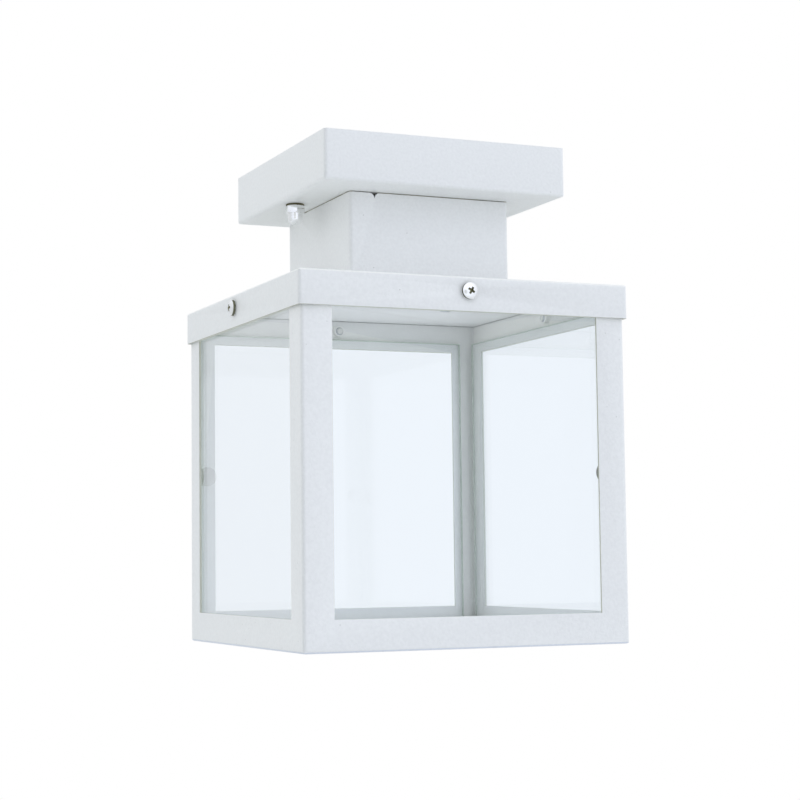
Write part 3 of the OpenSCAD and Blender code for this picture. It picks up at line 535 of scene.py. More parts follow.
MOUTH = -66.0                    # lower rim of the ceramic body
HOLDER_TOP = -31.0
STRAP_SCREW_X = 14
STRAP_LEG_X = 22.6               # outer face of the strap's legs
SIDE_SCREW_Z = -37
TERMINAL_Y, TERMINAL_UP = 13.8, 6.4          # its screw's head is this far over the body
EARTH = (22.0, 12.5)
LUG_T = 0.8
BLOCK_Y, BLOCK_H = 26.0, 9
POLE_PITCH, POLE_Z = 10, PLATE + 4.6
TOWER_OFF, CLAMP_UP = 4, 5       # of a pole's clamp screws, from its middle
WIRE_R = 1.15

GLASS_FOOT = -227.44
GLASS_W, GLASS_T, GLASS_H, GLASS_PLAY = 141.0, 3.0, 150.54, 0.2
FRONT_SHIFT, SIDE_SHIFT = 2.2, 3.3
# Panes: turn about Z from the front, sideways shift
PANES = {
    "front": (0, FRONT_SHIFT), "right": (90, SIDE_SHIFT),
    "back": (180, FRONT_SHIFT), "left": (270, SIDE_SHIFT),
}


# ---------- screws, nuts and rivets ----------

def coil(name, major, pitch, low, high, sides=3, reach=0.52, steps=24):
    """Thread ridge about Z: a small profile wound up between the two heights, with its ends closed."""
    half = reach * pitch
    turns = (high - low - 2 * half) / pitch
    lay_down()
    bpy.ops.mesh.primitive_circle_add(vertices=sides, radius=half * MM, fill_type="NOTHING")
    piece = named(name)
    upright = Matrix(((0, 1, 0, 0), (0, 0, 1, 0), (1, 0, 0, 0), (0, 0, 0, 1)))
    piece.matrix_world = at(major - half, 0, low + half) @ upright
    settle(piece)
    along_turns = math.ceil(steps * turns)
    worked(piece, "SCREW", axis="Z", angle=2 * math.pi * turns, screw_offset=turns * pitch * MM,
           steps=along_turns, render_steps=along_turns, use_merge_vertices=False)
    edit(piece, "SELECT")
    bpy.ops.mesh.fill_holes(sides=0)
    bpy.ops.mesh.normals_make_consistent(inside=False)
    done()
    return piece


def threaded(name, major, pitch, low, high):
    """Threaded rod: its core, with chamfered ends, and the ridge round it."""
    core = major - 0.6 * pitch
    rod = turned(name, [(core - 0.3, low), (core, low + 0.4), (core, high - 0.4), (core - 0.3, high)], 32)
    return joined(name, [rod, coil(name + "_ridge", major, pitch, low + 0.35, high - 0.35)])


def ball_radius(r, rim, h):
    """Radius of the ball that a pan head's dome is cut from."""
    return (r * r + (h - rim) ** 2) / (2 * (h - rim))


def dome(r, rim, h):
    """Rings of a pan head's dome, from its rim to near its middle."""
    ball, steps = ball_radius(r, rim, h), 6
    heights = [rim + (h - rim) * math.sin(math.pi / 2 * i / steps) for i in range(1, steps)]
    return [(math.sqrt(ball * ball - (z - h + ball) ** 2), z) for z in heights]


def middle_of(face):
    return face.calc_center_median() / MM


def paint(piece, coat, wanted):
    """Puts another coat on the faces that the test wants."""
    piece.data.materials.append(coat)
    edit(piece)
    pick(piece, "FACE", wanted)
    piece.active_material_index = len(piece.data.materials) - 1
    bpy.ops.object.material_slot_assign()
    done()


RIM_SHARE = 0.58                       # straight part of a pan head, of its height
ARM_SHARE, ARM_HALF = 0.31, 0.09       # reach and half width of a recess's arm, of the head's width
FLOOR_SHARE = 0.3                      # floor of the recess, of the head's height


def cross_screw(name, coat, head_d, head_h, shank_r, pitch, length):
    """Pan head screw with a cross recess, its seat at 0 and its head above. The recess and the rim's side
    mirror each other and the sheet; their darker colour is painted shade and painted reflection."""
    r, rim, arm, half = head_d / 2, head_h * RIM_SHARE, head_d * ARM_SHARE, head_d * ARM_HALF
    ball = ball_radius(r, rim, head_h)
    head = turned(name, [(shank_r, -0.2), (r - 0.3, -0.02), (r - 0.12, 0.04), (r, 0.22), (r, rim - 0.1)]
                  + dome(r, rim, head_h) + [(0.25, head_h)], 56)
    for turn in (0, 90):
        tool = block("recess_tool", (-arm, -half, head_h * FLOOR_SHARE), (arm, half, head_h + 1))
        edit(tool)
        pick(tool, "FACE", lambda f: f.normal.z < -0.9)
        bpy.ops.transform.resize(value=(0.42, 0.55, 1), center_override=(0, 0, 0))
        done()
        tool.matrix_world = about("Z", turn)
        cut(head, settle(tool))
    smooth(head, 35)
    head.data.materials.append(coat)

    def in_recess(face):
        place = middle_of(face)
        across = place.xy.length
        skin = head_h - ball + math.sqrt(max(ball * ball - across ** 2, 0))
        return across < arm + 0.2 and 0.3 < place.z < skin - 0.12

    # Painted shade in the recess, and painted shade and reflection on the rim's side.
    paint(head, RECESS_SHADE, in_recess)
    paint(head, RIM_SHADE, lambda f: abs(f.normal.z) < 0.3 and middle_of(f).xy.length > r - 0.2)
    shank = threaded(name + "_shank", shank_r, pitch, -length, 0.2)
    shank.data.materials.append(ZINC)
    paint(shank, SCREW_END, lambda f: f.normal.z < -0.5 and middle_of(f).z < 0.5 - length)
    return joined(name, [head, smooth(shank, 50)])


def hex_nut(name, af, height, bore_r, cap=None):
    """Hexagon nut with its seat at 0 and its body below; cap joins a dome of (radius, total height) to it."""
    flat = af / 2
    lay_down()
    bpy.ops.mesh.primitive_cylinder_add(vertices=6, radius=flat / math.cos(math.pi / 6) * MM,
                                        depth=height * MM, location=(0, 0, -height / 2 * MM),
                                        rotation=(0, 0, math.radians(30)))
    nut = settle(named(name))
    lathe = turned("nut_lathe", [(flat - 0.05, -height), (flat + 0.75, -height + 0.45), (flat + 0.75, -0.3),
                                 (flat + 0.2, 0)], 64)
    cut(nut, lathe, "INTERSECT")
    if cap:
        r, total = cap
        crown = turned("nut_crown", [(0.1, -total)] + rounded((0, r - total), r, -88, 0, 12)[1:]
                       + [(r, -height - 0.35), (r + 0.12, -height - 0.05), (r - 0.3, -height + 0.6)], 56)
        cut(nut, crown, "UNION")
        cut(nut, turned("nut_drill", [(0.2, -ACORN_HOLE), (bore_r, 0.8 - ACORN_HOLE), (bore_r, -0.4),
                                      (bore_r + 0.5, 0.1)], 40))
    else:
        cut(nut, turned("nut_drill", [(bore_r + 0.4, -height - 0.1), (bore_r, -height + 0.4),
                                      (bore_r, -0.4), (bore_r + 0.5, 0.1)], 40))
    return broken(nut, 0.12, 25)


def clamp_screw(name, head_r, head_h, shank_r, length):
    """Slotted clamp screw with the top of its head at 0."""
    head = turned(name, [(shank_r, -head_h - 0.05), (head_r - 0.1, -head_h), (head_r, -head_h + 0.15),
                         (head_r, -0.25), (head_r - 0.2, -0.05), (head_r - 0.45, 0)], 36)
    cut(head, block("slot_tool", (-head_r - 1, -0.25, -0.5), (head_r + 1, 0.25, 1)))
    smooth(head, 35)
    return joined(name, [head, smooth(threaded(name + "_shank", shank_r, 0.45, -length, -head_h), 50)])


def make_rivet():
    """Blind rivet through a grip of 2: domed head with its pulled stem below, upset tail above."""
    stem = [(0.72, -0.4), (0.85, -0.42), (0.95, -0.82)]
    head = [(1.25, -0.9), (1.9, -0.86), (2.6, -0.62), (3.1, -0.28), (3.2, -0.08), (3.1, 0), (1.6, 0)]
    tail = [(1.6, 2), (2.1, 2.03), (2.28, 2.35), (2.25, 2.9), (1.95, 3.5), (1.6, 3.8), (1.55, 4.1),
            (1.3, 4.35), (0.9, 4.4)]
    return smooth(turned("rivet", stem + head + tail, 36), 40)


def on_skirt(side):
    turn, sideways, recess = ROOF_SCREWS[side]
    seat = about("Z", turn) @ at(ROOF_SCREW_SEAT, sideways, ROOF_SCREW_Z)
    return seat @ about("Y", 90) @ about("Z", recess)


def set_out(pattern, name, places, source, coat=ZINC, body="lantern", slot="zinc_plate"):
    """One piece made of copies of a pattern; a pattern with coats of its own takes None."""
    copies = [copied(pattern, name, place) for place in places]
    return dressed(joined(name, copies), coat, body, slot, source)


# Every recess, slot and hexagon is left at an angle of its own.
roof_screw = cross_screw("roof_screw_pattern", BRIGHT, *ROOF_SCREW, length=6.0)
for side in ROOF_SCREWS:
    source = "roof_screw_" + side
    set_out(roof_screw, side + "_roof_screw", [on_skirt(side)], source, None, source, "bright_plate")

acorn = hex_nut("acorn_pattern", *ACORN_NUT)
for side, x in (("left", -STUD_X), ("right", STUD_X)):
    source = "acorn_nut_" + side
    seat = at(x, 0, CEILING_PAN - WASHER_T - SEAT_PLAY) @ about("Z", ACORN_TURN)
    set_out(acorn, side + "_acorn_nut", [seat], source, BRIGHT, source, "bright_plate")

washer = turned("washer_pattern", [(2.8, 0.12), (2.95, 0.02), (3.95, 0), (4.2, 0.12), (4.3, 0.4), (4.2, 0.68),
                                   (3.95, 0.8), (2.95, 0.78), (2.8, 0.68)], 48, hollow=True)
set_out(smooth(washer, 60), "rubber_washers", [at(x, 0, CEILING_PAN - WASHER_T) for x in (-STUD_X, STUD_X)],
        "acorn_washers", WASHER_RUBBER, slot="black_rubber")

stud = smooth(threaded("stud_pattern", STUD_R, 0.8, STUD_FOOT, STUD_TOP), 50)
set_out(stud, "threaded_studs", [at(x, 0, 0) for x in (-STUD_X, STUD_X)], "bracket_studs", body="bracket")
lock_nut = hex_nut("lock_nut_pattern", *M5_NUT)
set_out(lock_nut, "lock_nuts", [at(x, 0, -BAR_T) for x in (-STUD_X, STUD_X)], "stud_lock_nuts",
        body="bracket")

rivet = make_rivet()
set_out(rivet, "neck_blind_rivets", [about("Z", turn) @ at(RIVET_ALONG, -TAB_MID, CEILING_PAN - SHEET_T)
                                     for turn in (0, 90, 180, 270)], "neck_rivets")
set_out(rivet, "roof_blind_rivets", [about("Z", turn) @ at(s * RIVET_ALONG, -TAB_MID, ROOF_UNDER)
                                     for turn in (90, 270) for s in (-1, 1)], "roof_rivets")

m4_nut = hex_nut("m4_nut_pattern", *M4_NUT)
set_out(m4_nut, "strap_fixing_nuts", [at(s * STRAP_SCREW_X, 0, STRAP) for s in (-1, 1)], "strap_nuts")
set_out(m4_nut, "earth_fixing_nut", [at(*EARTH, CEILING_PAN)], "earth_nut")
m3_nut = hex_nut("m3_nut_pattern", *M3_NUT)
set_out(m3_nut, "block_fixing_nut", [at(POLE_PITCH / 2, BLOCK_Y, CEILING_PAN)], "block_nut")

strap_screw = cross_screw("strap_screw_pattern", ZINC, *M4, length=6.0)
set_out(strap_screw, "strap_fixing_screws", [at(s * STRAP_SCREW_X, 0, PLATE) @ about("Z", 25 * s)
                                             for s in (-1, 1)], "strap_screws", None)
earth_screw = cross_screw("earth_screw_pattern", ZINC, *M4, length=5.6)
set_out(earth_screw, "earth_fixing_screw", [at(*EARTH, PLATE + LUG_T) @ about("Z", 30)], "earth_screw", None)
side_screw = cross_screw("side_screw_pattern", ZINC, *M3, length=5.2)
set_out(side_screw, "holder_clamp_screws", [at(s * STRAP_LEG_X, 0, SIDE_SCREW_Z) @ about("Y", s * 90)
                                            @ about("Z", 15) for s in (-1, 1)], "holder_side_screws", None)
block_screw = cross_screw("block_screw_pattern", ZINC, *M3, length=13.0)
set_out(block_screw, "block_fixing_screw", [at(POLE_PITCH / 2, BLOCK_Y, PLATE + BLOCK_H) @ about("Z", 40)],
        "block_screw", None)

wire_clamp = clamp_screw("wire_clamp_pattern", 1.9, 1.0, 1.25, 2.4)
set_out(wire_clamp, "holder_wire_clamps",
        [at(0, s * TERMINAL_Y, HOLDER_TOP + TERMINAL_UP) @ about("Z", 20 + 50 * s) for s in (-1, 1)],
        "holder_terminal_screws")
pole_clamp = clamp_screw("pole_clamp_pattern", 1.9, 1.6, 1.25, 3.8)
set_out(pole_clamp, "block_wire_clamps",
        [at(pole * POLE_PITCH, BLOCK_Y + s * TOWER_OFF, POLE_Z + CLAMP_UP) @ about("Z", 37 * pole + 61 * s)
         for pole in (-1, 0, 1) for s in (-1, 1)], "terminal_screws")

for pattern in (roof_screw, acorn, washer, stud, lock_nut, rivet, m4_nut, m3_nut, strap_screw, earth_screw,
                side_screw, block_screw, wire_clamp, pole_clamp):
    put_away(pattern)


# ---------- folded sheet ----------

FOLD = 0.9              # how far a fold's round reaches
EASE = 0.22             # width of the eased edges
EASED = EASE + 0.04     # an eased edge lies within this of the sharp one


def eased(source, name, width, slot, body="lantern", segments=2, shape=None):
    """The piece for a solid: its merged copy with the edges taken off; shape works on it first."""
    lay_down()
    piece = nodes[source].copy()
    piece.data = nodes[source].data.copy()
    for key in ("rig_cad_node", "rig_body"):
        if key in piece:
            del piece[key]
    piece.parent = None
    piece.matrix_world = Matrix()
    piece.name = piece.data.name = name
    bpy.context.scene.collection.objects.link(piece)
    edit(piece, "SELECT")
    bpy.ops.mesh.remove_doubles(threshold=0.0005 * MM)
    bpy.ops.mesh.dissolve_limited(angle_limit=math.radians(0.5))
    done()
    if shape:
        shape(piece)
    return dressed(broken(piece, width, 35, segments), CAD_FINISH[source], body, slot, source)


def is_near(value, wanted):
    """Whether a place in metres is a length in millimetres away, to either side."""
    return abs(abs(value) - abs(wanted) * MM) < 0.02 * MM


def fold_round(out, flat=None):
    """Gives a sheet box its folds: the upright corners at out, and the rim at flat, are rounded."""
    def shape(piece):
        def is_fold(e):
            ends = [v.co for v in e.verts]
            upright = all(is_near(p.x, out) and is_near(p.y, out) for p in ends)
            level = flat is not None and all(is_near(p.z, flat) for p in ends) and any(
                all(is_near(p[i], out) for p in ends) for i in (0, 1))
            return upright or level
        edit(piece)
        pick(piece, "EDGE", is_fold)
        bpy.ops.mesh.bevel(offset=FOLD * MM, segments=4, affect="EDGES")
        done()
    return shape


FOLDS = {
    "ceiling_pan": fold_round(PAN_OUT, CEILING_PAN),
    "neck": fold_round(NECK_OUT),
    "roof": fold_round(ROOF_OUT, ROOF_TOP),
    "cage_front_left": fold_round(CAGE_OUT, CAGE_FOOT),
    "cage_back_right": fold_round(CAGE_OUT, CAGE_FOOT),
}
coated = {source: eased(source, source + "_coated", EASE, "white_coat", shape=folds)
          for source, folds in FOLDS.items()}


def on_window_edge(face):
    """On the cut edge of one of the cage's windows: inside the window's outline, and not the wall's flat."""
    place = middle_of(face)
    for wall, along in ((0, 1), (1, 0)):
        if abs(place[wall]) > WALL - 0.1 and abs(place[along]) < CAGE_OUT - BORDER + EASED:
            in_window = CAGE_FOOT + BORDER - EASED < place.z < WINDOW_TOP + EASED
            return in_window and abs(face.normal[wall]) < 0.95
    return False


def inside(face):
    place = middle_of(face)
    return max(abs(place.x), abs(place.y)) < WALL + 0.05


def inside_above_window(face):
    return inside(face) and middle_of(face).z > WINDOW_TOP + EASED


def in_channel(face):
    return inside(face) and middle_of(face).z < CAGE_FOOT + BORDER - EASED and face.normal.z > -0.5


def on_foot_fold(face):
    return middle_of(face).z < CAGE_FOOT + FOLD and -0.95 < face.normal.z < -0.15


def on_roof_fold(face):
    return middle_of(face).z > ROOF_TOP - FOLD and 0.15 < face.normal.z < 0.95


# Inside the cage, painted light above the windows and painted shade in the channel; painted shade on the
# outer foot fold; the window edges coated darker.
for half in ("cage_front_left", "cage_back_right"):
    for coat, wanted in ((POWDER_WINDOW_DARKER, on_window_edge), (POWDER_INSIDE_LIT, inside_above_window),
                         (POWDER_CHANNEL_SHADE, in_channel), (POWDER_FOOT, on_foot_fold)):
        paint(coated[half], coat, wanted)
# The skirt's lower cut edge: thin coat and painted shade.
paint(coated["roof"], POWDER_THIN_SHADED, lambda face: middle_of(face).z < SKIRT_FOOT + EASED)
# Painted highlight along the roof's upper fold.
paint(coated["roof"], POWDER_FOLD_HIGHLIGHT, on_roof_fold)

eased("mounting_bracket", "mounting_bar", 0.2, "zinc_plate", "bracket")


def fold_strap(strap):
    """Rounds the strap's two folds."""
    edit(strap)
    pick(strap, "EDGE", lambda edge: all(is_near(end.co.x, STRAP_LEG_X) and is_near(end.co.z, CEILING_PAN)
                                         for end in edge.verts))
    bpy.ops.mesh.bevel(offset=1.1 * MM, segments=4, affect="EDGES")
    done()


eased("holder_strap", "lamp_holder_strap", 0.14, "zinc_plate", shape=fold_strap)


# ---------- glass and its dabs ----------

PANE_OUT = WALL - GLASS_PLAY     # outer face of a pane
ARRIS = 0.35
DAB_X, DAB_HALF_W, DAB_HALF_H = 68.9, 4.5, 4.9
# Dab: share of its half width, distance from the wall
DAB_RINGS = [(1.0, 0), (1.02, 2.2), (0.985, 3.2), (0.93, 3.6), (0.82, 3.85), (0.62, 3.97), (0.3, 4.0)]
FRONT_RIGHT_DABS_UP, BACK_LEFT_DABS_UP = 75.8, 79.6
SIDE_DAB_DOWN = 0.6              # of a corner's second dab, under its first
# Width of the painted shade along a dab's edge on the window's side.
SHADED_EDGE_W = 2.1


def pane_corners(shift, outwards=0):
    """Lowest and highest corner of the front pane's place; outwards adds room on its outer side."""
    return ((shift - GLASS_W / 2, -PANE_OUT - outwards, GLASS_FOOT),
            (shift + GLASS_W / 2, GLASS_T - PANE_OUT, GLASS_FOOT + GLASS_H))


def make_pane(name, turn, shift):
    """Float glass with ground edges and small arrises, made for the front and turned to its side."""
    pane = block(name, *pane_corners(shift))
    worked(pane, "BEVEL", width=ARRIS * MM, segments=1, limit_method="NONE")
    pane.data.materials.append(GLASS)
    paint(pane, GLASS_EDGE, lambda f: abs(f.normal.y) < 0.99)
    pane.matrix_world = about("Z", turn)
    return settle(pane)


for side, (turn, shift) in PANES.items():
    dressed(make_pane(side + "_pane", turn, shift), None, "lantern", "clear_glass", "glass_" + side)


def make_dab(shift, up, matrix, shaded_edge):
    """Clear oval pad from the wall over a pane's edge, made for the front and cut out where the pane is.
    With its last flag, the pad's edge on the window's side is painted dark, as painted shade."""
    pad = turned("dab", DAB_RINGS, 40)
    pad.matrix_world = (at(DAB_X, -WALL, GLASS_FOOT + up) @ about("X", -90)
                        @ Matrix.Diagonal((DAB_HALF_W, DAB_HALF_H, 1, 1)))
    settle(pad)
    cut(pad, block("pane_room", *pane_corners(shift, GLASS_PLAY + 1)))
    pad.data.materials.append(SEALANT)

    def on_shaded_edge(face):
        place = middle_of(face)
        over_pane = place.y > GLASS_T - PANE_OUT and abs(face.normal.y) < 0.999
        return over_pane and place.x < DAB_X - DAB_HALF_W + SHADED_EDGE_W

    # Painted shade on the pad's edge on the window's side.
    if shaded_edge:
        paint(pad, SEALANT_SHADE, on_shaded_edge)
    pad.matrix_world = matrix
    settle(pad)
    edit(pad, "SELECT")
    bpy.ops.mesh.normals_make_consistent(inside=False)
    done()
    return smooth(pad, 45)


dabs = []
for corner, up, shaded_edge in ((0, FRONT_RIGHT_DABS_UP, True), (180, BACK_LEFT_DABS_UP, False)):
    beside = about("Z", corner + 90) @ Matrix.Diagonal((-1, 1, 1, 1))
    dabs.append(make_dab(FRONT_SHIFT, up, about("Z", corner), shaded_edge))
    dabs.append(make_dab(-SIDE_SHIFT, up - SIDE_DAB_DOWN, beside, shaded_edge))
dressed(joined("clear_dabs", dabs), None, "lantern", "clear_dab", "glass_dabs")


# ---------- lamp holder ----------

CERAMIC_R, SHOULDER_R, CAVITY_R, SEAT_R, BORE_R = 20, 18.5, 14.2, 9.5, 1.5
SHOULDER_Z, CAVITY_TOP, CONTACT_ROOM_TOP = -42, -43.5, -38
LIP, TOP_ROUND = 1.6, 0.8
BOSS_X, BOSS_HALF = 18.9, (2.5, 5.5, 4.5)
SHELL_R, SHELL_OUT, SHELL_FOOT, SHELL_SEAT = 13.3, 13.75, MOUTH + 1.5, CAVITY_TOP - 0.5
LAMP_PITCH = 3.63

body = turned(
    "lamp_holder_ceramic",
    [(CAVITY_R, MOUTH + 0.5), (CAVITY_R + 0.5, MOUTH)]
    + rounded((CERAMIC_R - LIP, MOUTH + LIP), LIP, -90, 0, 6)
    + [(CERAMIC_R, SHOULDER_Z - 0.5), (CERAMIC_R - 0.3, SHOULDER_Z - 0.1), (CERAMIC_R - 1.1, SHOULDER_Z),
       (SHOULDER_R, SHOULDER_Z + 0.4)]
    + rounded((SHOULDER_R - TOP_ROUND, HOLDER_TOP - TOP_ROUND), TOP_ROUND, 0, 90, 4)
    + [(BORE_R + 0.2, HOLDER_TOP), (BORE_R, HOLDER_TOP - 0.3), (BORE_R, CONTACT_ROOM_TOP),
       (SEAT_R - 0.2, CONTACT_ROOM_TOP), (SEAT_R, CONTACT_ROOM_TOP - 0.3), (SEAT_R, CAVITY_TOP + 0.3),
       (SEAT_R + 0.3, CAVITY_TOP), (CAVITY_R, CAVITY_TOP)], 96, hollow=True)
for s in (-1, 1):
    boss = block("boss", [-half for half in BOSS_HALF], BOSS_HALF)
    boss.matrix_world = at(s * BOSS_X, 0, SIDE_SCREW_Z)
    body = joined("lamp_holder_ceramic", [body, broken(settle(boss), 0.7, 40, 3)])
dressed(smooth(body, 40), PORCELAIN, "lantern", "porcelain", "holder_body")

shell = turned("screw_shell", [(SHELL_R, SHELL_FOOT), (SHELL_OUT, SHELL_FOOT), (SHELL_OUT, CAVITY_TOP),
                               (SEAT_R, CAVITY_TOP), (SEAT_R, SHELL_SEAT), (SHELL_R, SHELL_SEAT)],
               96, hollow=True)
ridge = coil("shell_ridge", CAVITY_R, LAMP_PITCH, SHELL_FOOT + 0.2, SHELL_SEAT - 0.2, sides=14, reach=0.245,
             steps=72)
dressed(smooth(joined("screw_shell", [shell, ridge]), 40), BRASS, "lantern", "brass", "holder_shell")

eased("holder_contact", "centre_contact", 0.1, "brass")
eased("holder_terminals", "holder_terminal_blocks", 0.25, "brass")

GROMMET_WAIST, FLANGE_HALF = 5.95, 0.65
LOWER, UPPER = STRAP - FLANGE_HALF, PLATE + FLANGE_HALF        # middles of the grommet's flanges
IN_BORE, ON_FLANGE, FLANGE_ROUND = 4.7, 7.8, 0.62
grommet = turned("grommet", [(IN_BORE - 0.6, LOWER - 0.25)]
                 + rounded((IN_BORE, LOWER), FLANGE_HALF, 180, 270, 3)
                 + rounded((ON_FLANGE, LOWER), FLANGE_ROUND, -90, 60, 5)
                 + [(GROMMET_WAIST, STRAP), (GROMMET_WAIST, PLATE)]
                 + rounded((ON_FLANGE, UPPER), FLANGE_ROUND, -60, 90, 5)
                 + rounded((IN_BORE, UPPER), FLANGE_HALF, 90, 180, 3), 64, hollow=True)
dressed(smooth(grommet, 50), RUBBER, "lantern", "black_rubber", "wire_grommet")


# ---------- terminal block and wires ----------

eased("terminal_block", "three_way_block", 0.35, "nylon", segments=3)
eased("terminal_tubes", "block_tubes", 0.12, "brass")
eased("earth_lug", "earth_ring_lug", 0.12, "brass")


def along(points, t):
    """Point on a cubic curve through four control points."""
    a, b, c, d = (Vector(p) for p in points)
    return a * (1 - t) ** 3 + b * (3 * t * (1 - t) ** 2) + c * (3 * t * t * (1 - t)) + d * t ** 3


def route(curves):
    """Points along a chain of curves, 20 to each."""
    return [Vector(curves[0][0])] + [along(curve, i / 20) for curve in curves for i in range(1, 21)]


def drawn(name, points, radius):
    """Round wire along a route."""
    lay_down()
    bpy.ops.curve.primitive_nurbs_path_add()
    wire_curve = named(name)
    wire_curve.data.splines.clear()
    spline = wire_curve.data.splines.new("POLY")
    spline.points.add(len(points) - 1)
    for knot, place in zip(spline.points, points):
        knot.co = (*(place * MM), 1)
    wire_curve.data.dimensions = "3D"
    wire_curve.data.bevel_depth = radius * MM
    wire_curve.data.bevel_resolution = 4
    wire_curve.data.use_fill_caps = True
    take_up(wire_curve)
    bpy.ops.object.convert(target="MESH")
    tube = named(name)
    edit(tube, "SELECT")
    bpy.ops.mesh.remove_doubles(threshold=0.001 * MM)
    bpy.ops.mesh.normals_make_consistent(inside=False)
    done()
    return settle(smooth(tube, 40))


STRANDS_R = 0.75
ABOVE_HOLE, BELOW_HOLE = PLATE + 3.2, STRAP - 0.6
IN_TERMINAL = (TERMINAL_Y - 0.5, HOLDER_TOP + 2.7)             # how far out, and height
STRIPPED_OUT, STRIPPED_UNDER = 9.6, -27                        # bare copper begins out and under these


def at_pole(pole):
    """Where a wire's end lies in a tube of the block."""
    return Vector((pole * POLE_PITCH, BLOCK_Y - 6, POLE_Z))


def lamp_wire(name, pole, hole_x, side, coat, slot, source):
    """Wire from a pole of the block, through the grommet, to a terminal; its stripped end is bare copper."""
    start, top, low = at_pole(pole), Vector((hole_x, 0, ABOVE_HOLE)), Vector((hole_x, 0, BELOW_HOLE))
    end = Vector((0, side * IN_TERMINAL[0], IN_TERMINAL[1]))
    points = route([
        (start, start - Vector((0, 9, 0)), top + Vector((0, 0, 7)), top),
        (top, top - Vector((0, 0, 2)), low + Vector((0, 0, 2)), low),
        (low, low - Vector((0, 0, 4.1)), (hole_x / 2, side * 3, end.z), end)])
    bare = next(i for i, p in enumerate(points) if p.z < STRIPPED_UNDER and abs(p.y) > STRIPPED_OUT)
    jacket = drawn(name, points[:bare + 1], WIRE_R)
    tip = drawn(name + "_strands", points[bare - 1:], STRANDS_R)
    dressed(jacket, coat, "lantern", slot, source)
    dressed(tip, COPPER, "lantern", "brass")


lamp_wire("brown_live_wire", -1, -1.5, -1, BROWN, "brown_insulation", "live_wire")
lamp_wire("blue_neutral_wire", 0, 1.5, 1, BLUE, "blue_insulation", "neutral_wire")


def striped(piece, points, coat):
    """Two stripes along a wire, on its upper and its lower side."""
    def on_stripe(face):
        place = middle_of(face)
        near = min(range(1, len(points) - 1), key=lambda i: (points[i] - place).length)
        ahead = (points[near + 1] - points[near - 1]).normalized()
        out = place - points[near]
        out -= ahead * out.dot(ahead)
        return out.length > 0.5 and abs(out.normalized().dot(ahead.orthogonal().normalized())) > 0.75

    paint(piece, coat, on_stripe)


earth_start, mouth = at_pole(1), Vector((EARTH[0], 4, PLATE + 1.8))
earth_route = route([
    (earth_start, earth_start - Vector((0, 20, -5)), mouth - Vector((0, 14, 0)), mouth - Vector((0, 0.5, 0))),
    (mouth - Vector((0, 0.5, 0)), mouth, mouth + Vector((0, 1.2, 0)), mouth + Vector((0, 2.5, 0)))])
earth = drawn("striped_earth_wire", earth_route, WIRE_R)
earth.data.materials.append(GREEN)
striped(earth, earth_route, YELLOW)
dressed(earth, None, "lantern", "green_insulation", "earth_wire")


# ---------- camera, floor and light ----------

CAMERA_PLACE = (-0.35281, -0.80897, -0.18803)    # metres
CAMERA_AZIMUTH, CAMERA_RISE, CAMERA_ROLL = -23.63, 4.79, -0.68
FOCAL_PIXELS, PHOTO_WIDTH = 1857.3, 800
SENSOR = 36


def stand_camera():
    """The photograph's view: a long lens from the left of the front, looking slightly up."""
    azimuth, rise, roll = (math.radians(a) for a in (CAMERA_AZIMUTH, CAMERA_RISE, CAMERA_ROLL))
    ahead = Vector((-math.sin(azimuth) * math.cos(rise), math.cos(azimuth) * math.cos(rise), math.sin(rise)))
    right = Vector((math.cos(azimuth), math.sin(azimuth), 0))
    up = right.cross(ahead)
    right, up = (math.cos(roll) * right + math.sin(roll) * up, -math.sin(roll) * right + math.cos(roll) * up)
    data = bpy.data.cameras.new("camera")
    data.sensor_width = SENSOR
    data.lens = FOCAL_PIXELS / PHOTO_WIDTH * SENSOR
    data.clip_start = 0.05
    data.clip_end = 50
    camera = bpy.data.objects.new("camera", data)
    bpy.context.scene.collection.objects.link(camera)
    turn = Matrix((right, up, -ahead)).transposed()
    camera.matrix_world = Matrix.Translation(CAMERA_PLACE) @ turn.to_4x4()
    bpy.context.scene.camera = camera


def looked_at(tree):
    """Mask of the rays that look straight at a thing, or at it through glass."""
    light = node(tree, "ShaderNodeLightPath").outputs
    return calculated(tree, "MAXIMUM", light["Is Camera Ray"], light["Is Transmission Ray"])


PAPER = (1, 1, 1, 1)
FLOOR_WIDTH, FLOOR_Z = 4.0, -1.6                 # metres


def lay_floor():
    """A pale floor far below; looked at, it is as white as the paper behind the object."""
    lay_down()
    bpy.ops.mesh.primitive_plane_add(size=FLOOR_WIDTH, location=(0, 0, FLOOR_Z))
    floor = settle(named("pale_floor"))
    m, t, s = finish("pale_floor", (0.9, 0.9, 0.9), 0.8)
    white = node(t, "ShaderNodeEmission", {"Color": PAPER}).outputs[0]
    wire(t, mixed(t, looked_at(t), s.outputs[0], white), t.nodes["Material Output"].inputs["Surface"])
    floor.data.materials.append(m)


TENT_FOOT, TENT_SIDE, TENT_TOP = (0.81, 0.85, 0.84, 1), (0.86, 0.893, 0.912, 1), (1.16, 1.20, 1.23, 1)
BACK_TINT, FRONT_TINT = (0.96, 0.955, 0.97), (0.985, 0.99, 1.075)
OPENING, WAY_TO_OPENING = (0.7, 0.72, 0.73, 1), (-0.40, -0.91, -0.08)


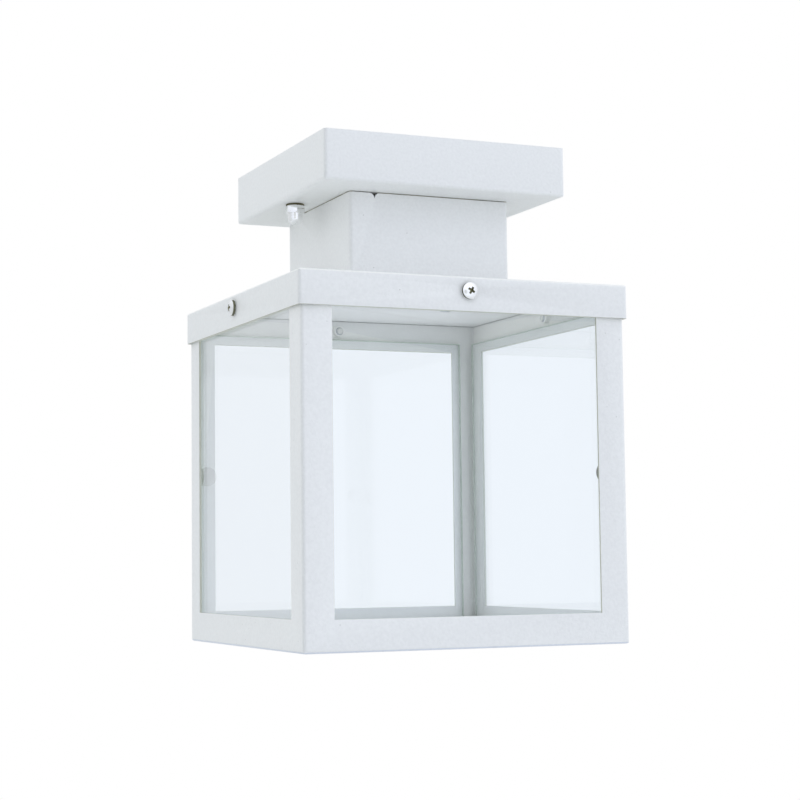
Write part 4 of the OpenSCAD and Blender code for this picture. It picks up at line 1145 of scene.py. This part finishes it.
def light_studio():
    """A soft white tent, cooler in front and overhead and a little greener from below. It is brightest at
    the front right and the back left, and dimmest where the camera stands and opposite. What metal and
    glass mirror is plainer, with the grey opening that the camera stands in. White paper is behind the
    object."""
    world = bpy.data.worlds.new("studio")
    bpy.context.scene.world = world
    world.use_nodes = True
    t = world.node_tree
    t.nodes.clear()
    place = place_in(t, "Generated")
    axes = node(t, "ShaderNodeSeparateXYZ", {0: place}).outputs
    ramp = node(t, "ShaderNodeValToRGB", {0: span(t, axes["Z"], 0, 1, -1, 1)})
    low, high = ramp.color_ramp.elements
    low.color, high.color = TENT_FOOT, TENT_TOP
    ramp.color_ramp.elements.new(0.5).color = TENT_SIDE
    front = span(t, axes["Y"], 0, 1, 0.2, -0.9)
    tint = blend(t, front, BACK_TINT, FRONT_TINT)
    color = blend(t, 1.0, ramp.outputs[0], tint, blend_type="MULTIPLY")
    across = calculated(t, "MULTIPLY", axes["X"], axes["Y"])
    strength = calculated(t, "MULTIPLY_ADD", across, -1.2, 0.89)
    tent = node(t, "ShaderNodeBackground", {"Color": color, "Strength": strength}).outputs[0]

    facing = node(t, "ShaderNodeVectorMath", {0: place, 1: Vector(WAY_TO_OPENING).normalized()},
                  operation="DOT_PRODUCT").outputs["Value"]
    opening = span(t, facing, 0, 1, 0.93, 1.0, interpolation_type="SMOOTHSTEP")
    dark = node(t, "ShaderNodeBackground", {"Color": OPENING}).outputs[0]
    strength = span(t, front, 0.9, 1.2, 0.25, 1.0)
    bright = node(t, "ShaderNodeBackground", {"Color": color, "Strength": strength}).outputs[0]
    mirrored = mixed(t, opening, bright, dark)

    gloss = node(t, "ShaderNodeLightPath").outputs["Is Glossy Ray"]
    unseen = mixed(t, gloss, tent, mirrored)
    paper = node(t, "ShaderNodeBackground", {"Color": PAPER}).outputs[0]
    node(t, "ShaderNodeOutputWorld", {0: mixed(t, looked_at(t), unseen, paper)})
    bpy.context.scene.view_settings.view_transform = "Standard"


stand_camera()
lay_floor()
light_studio()
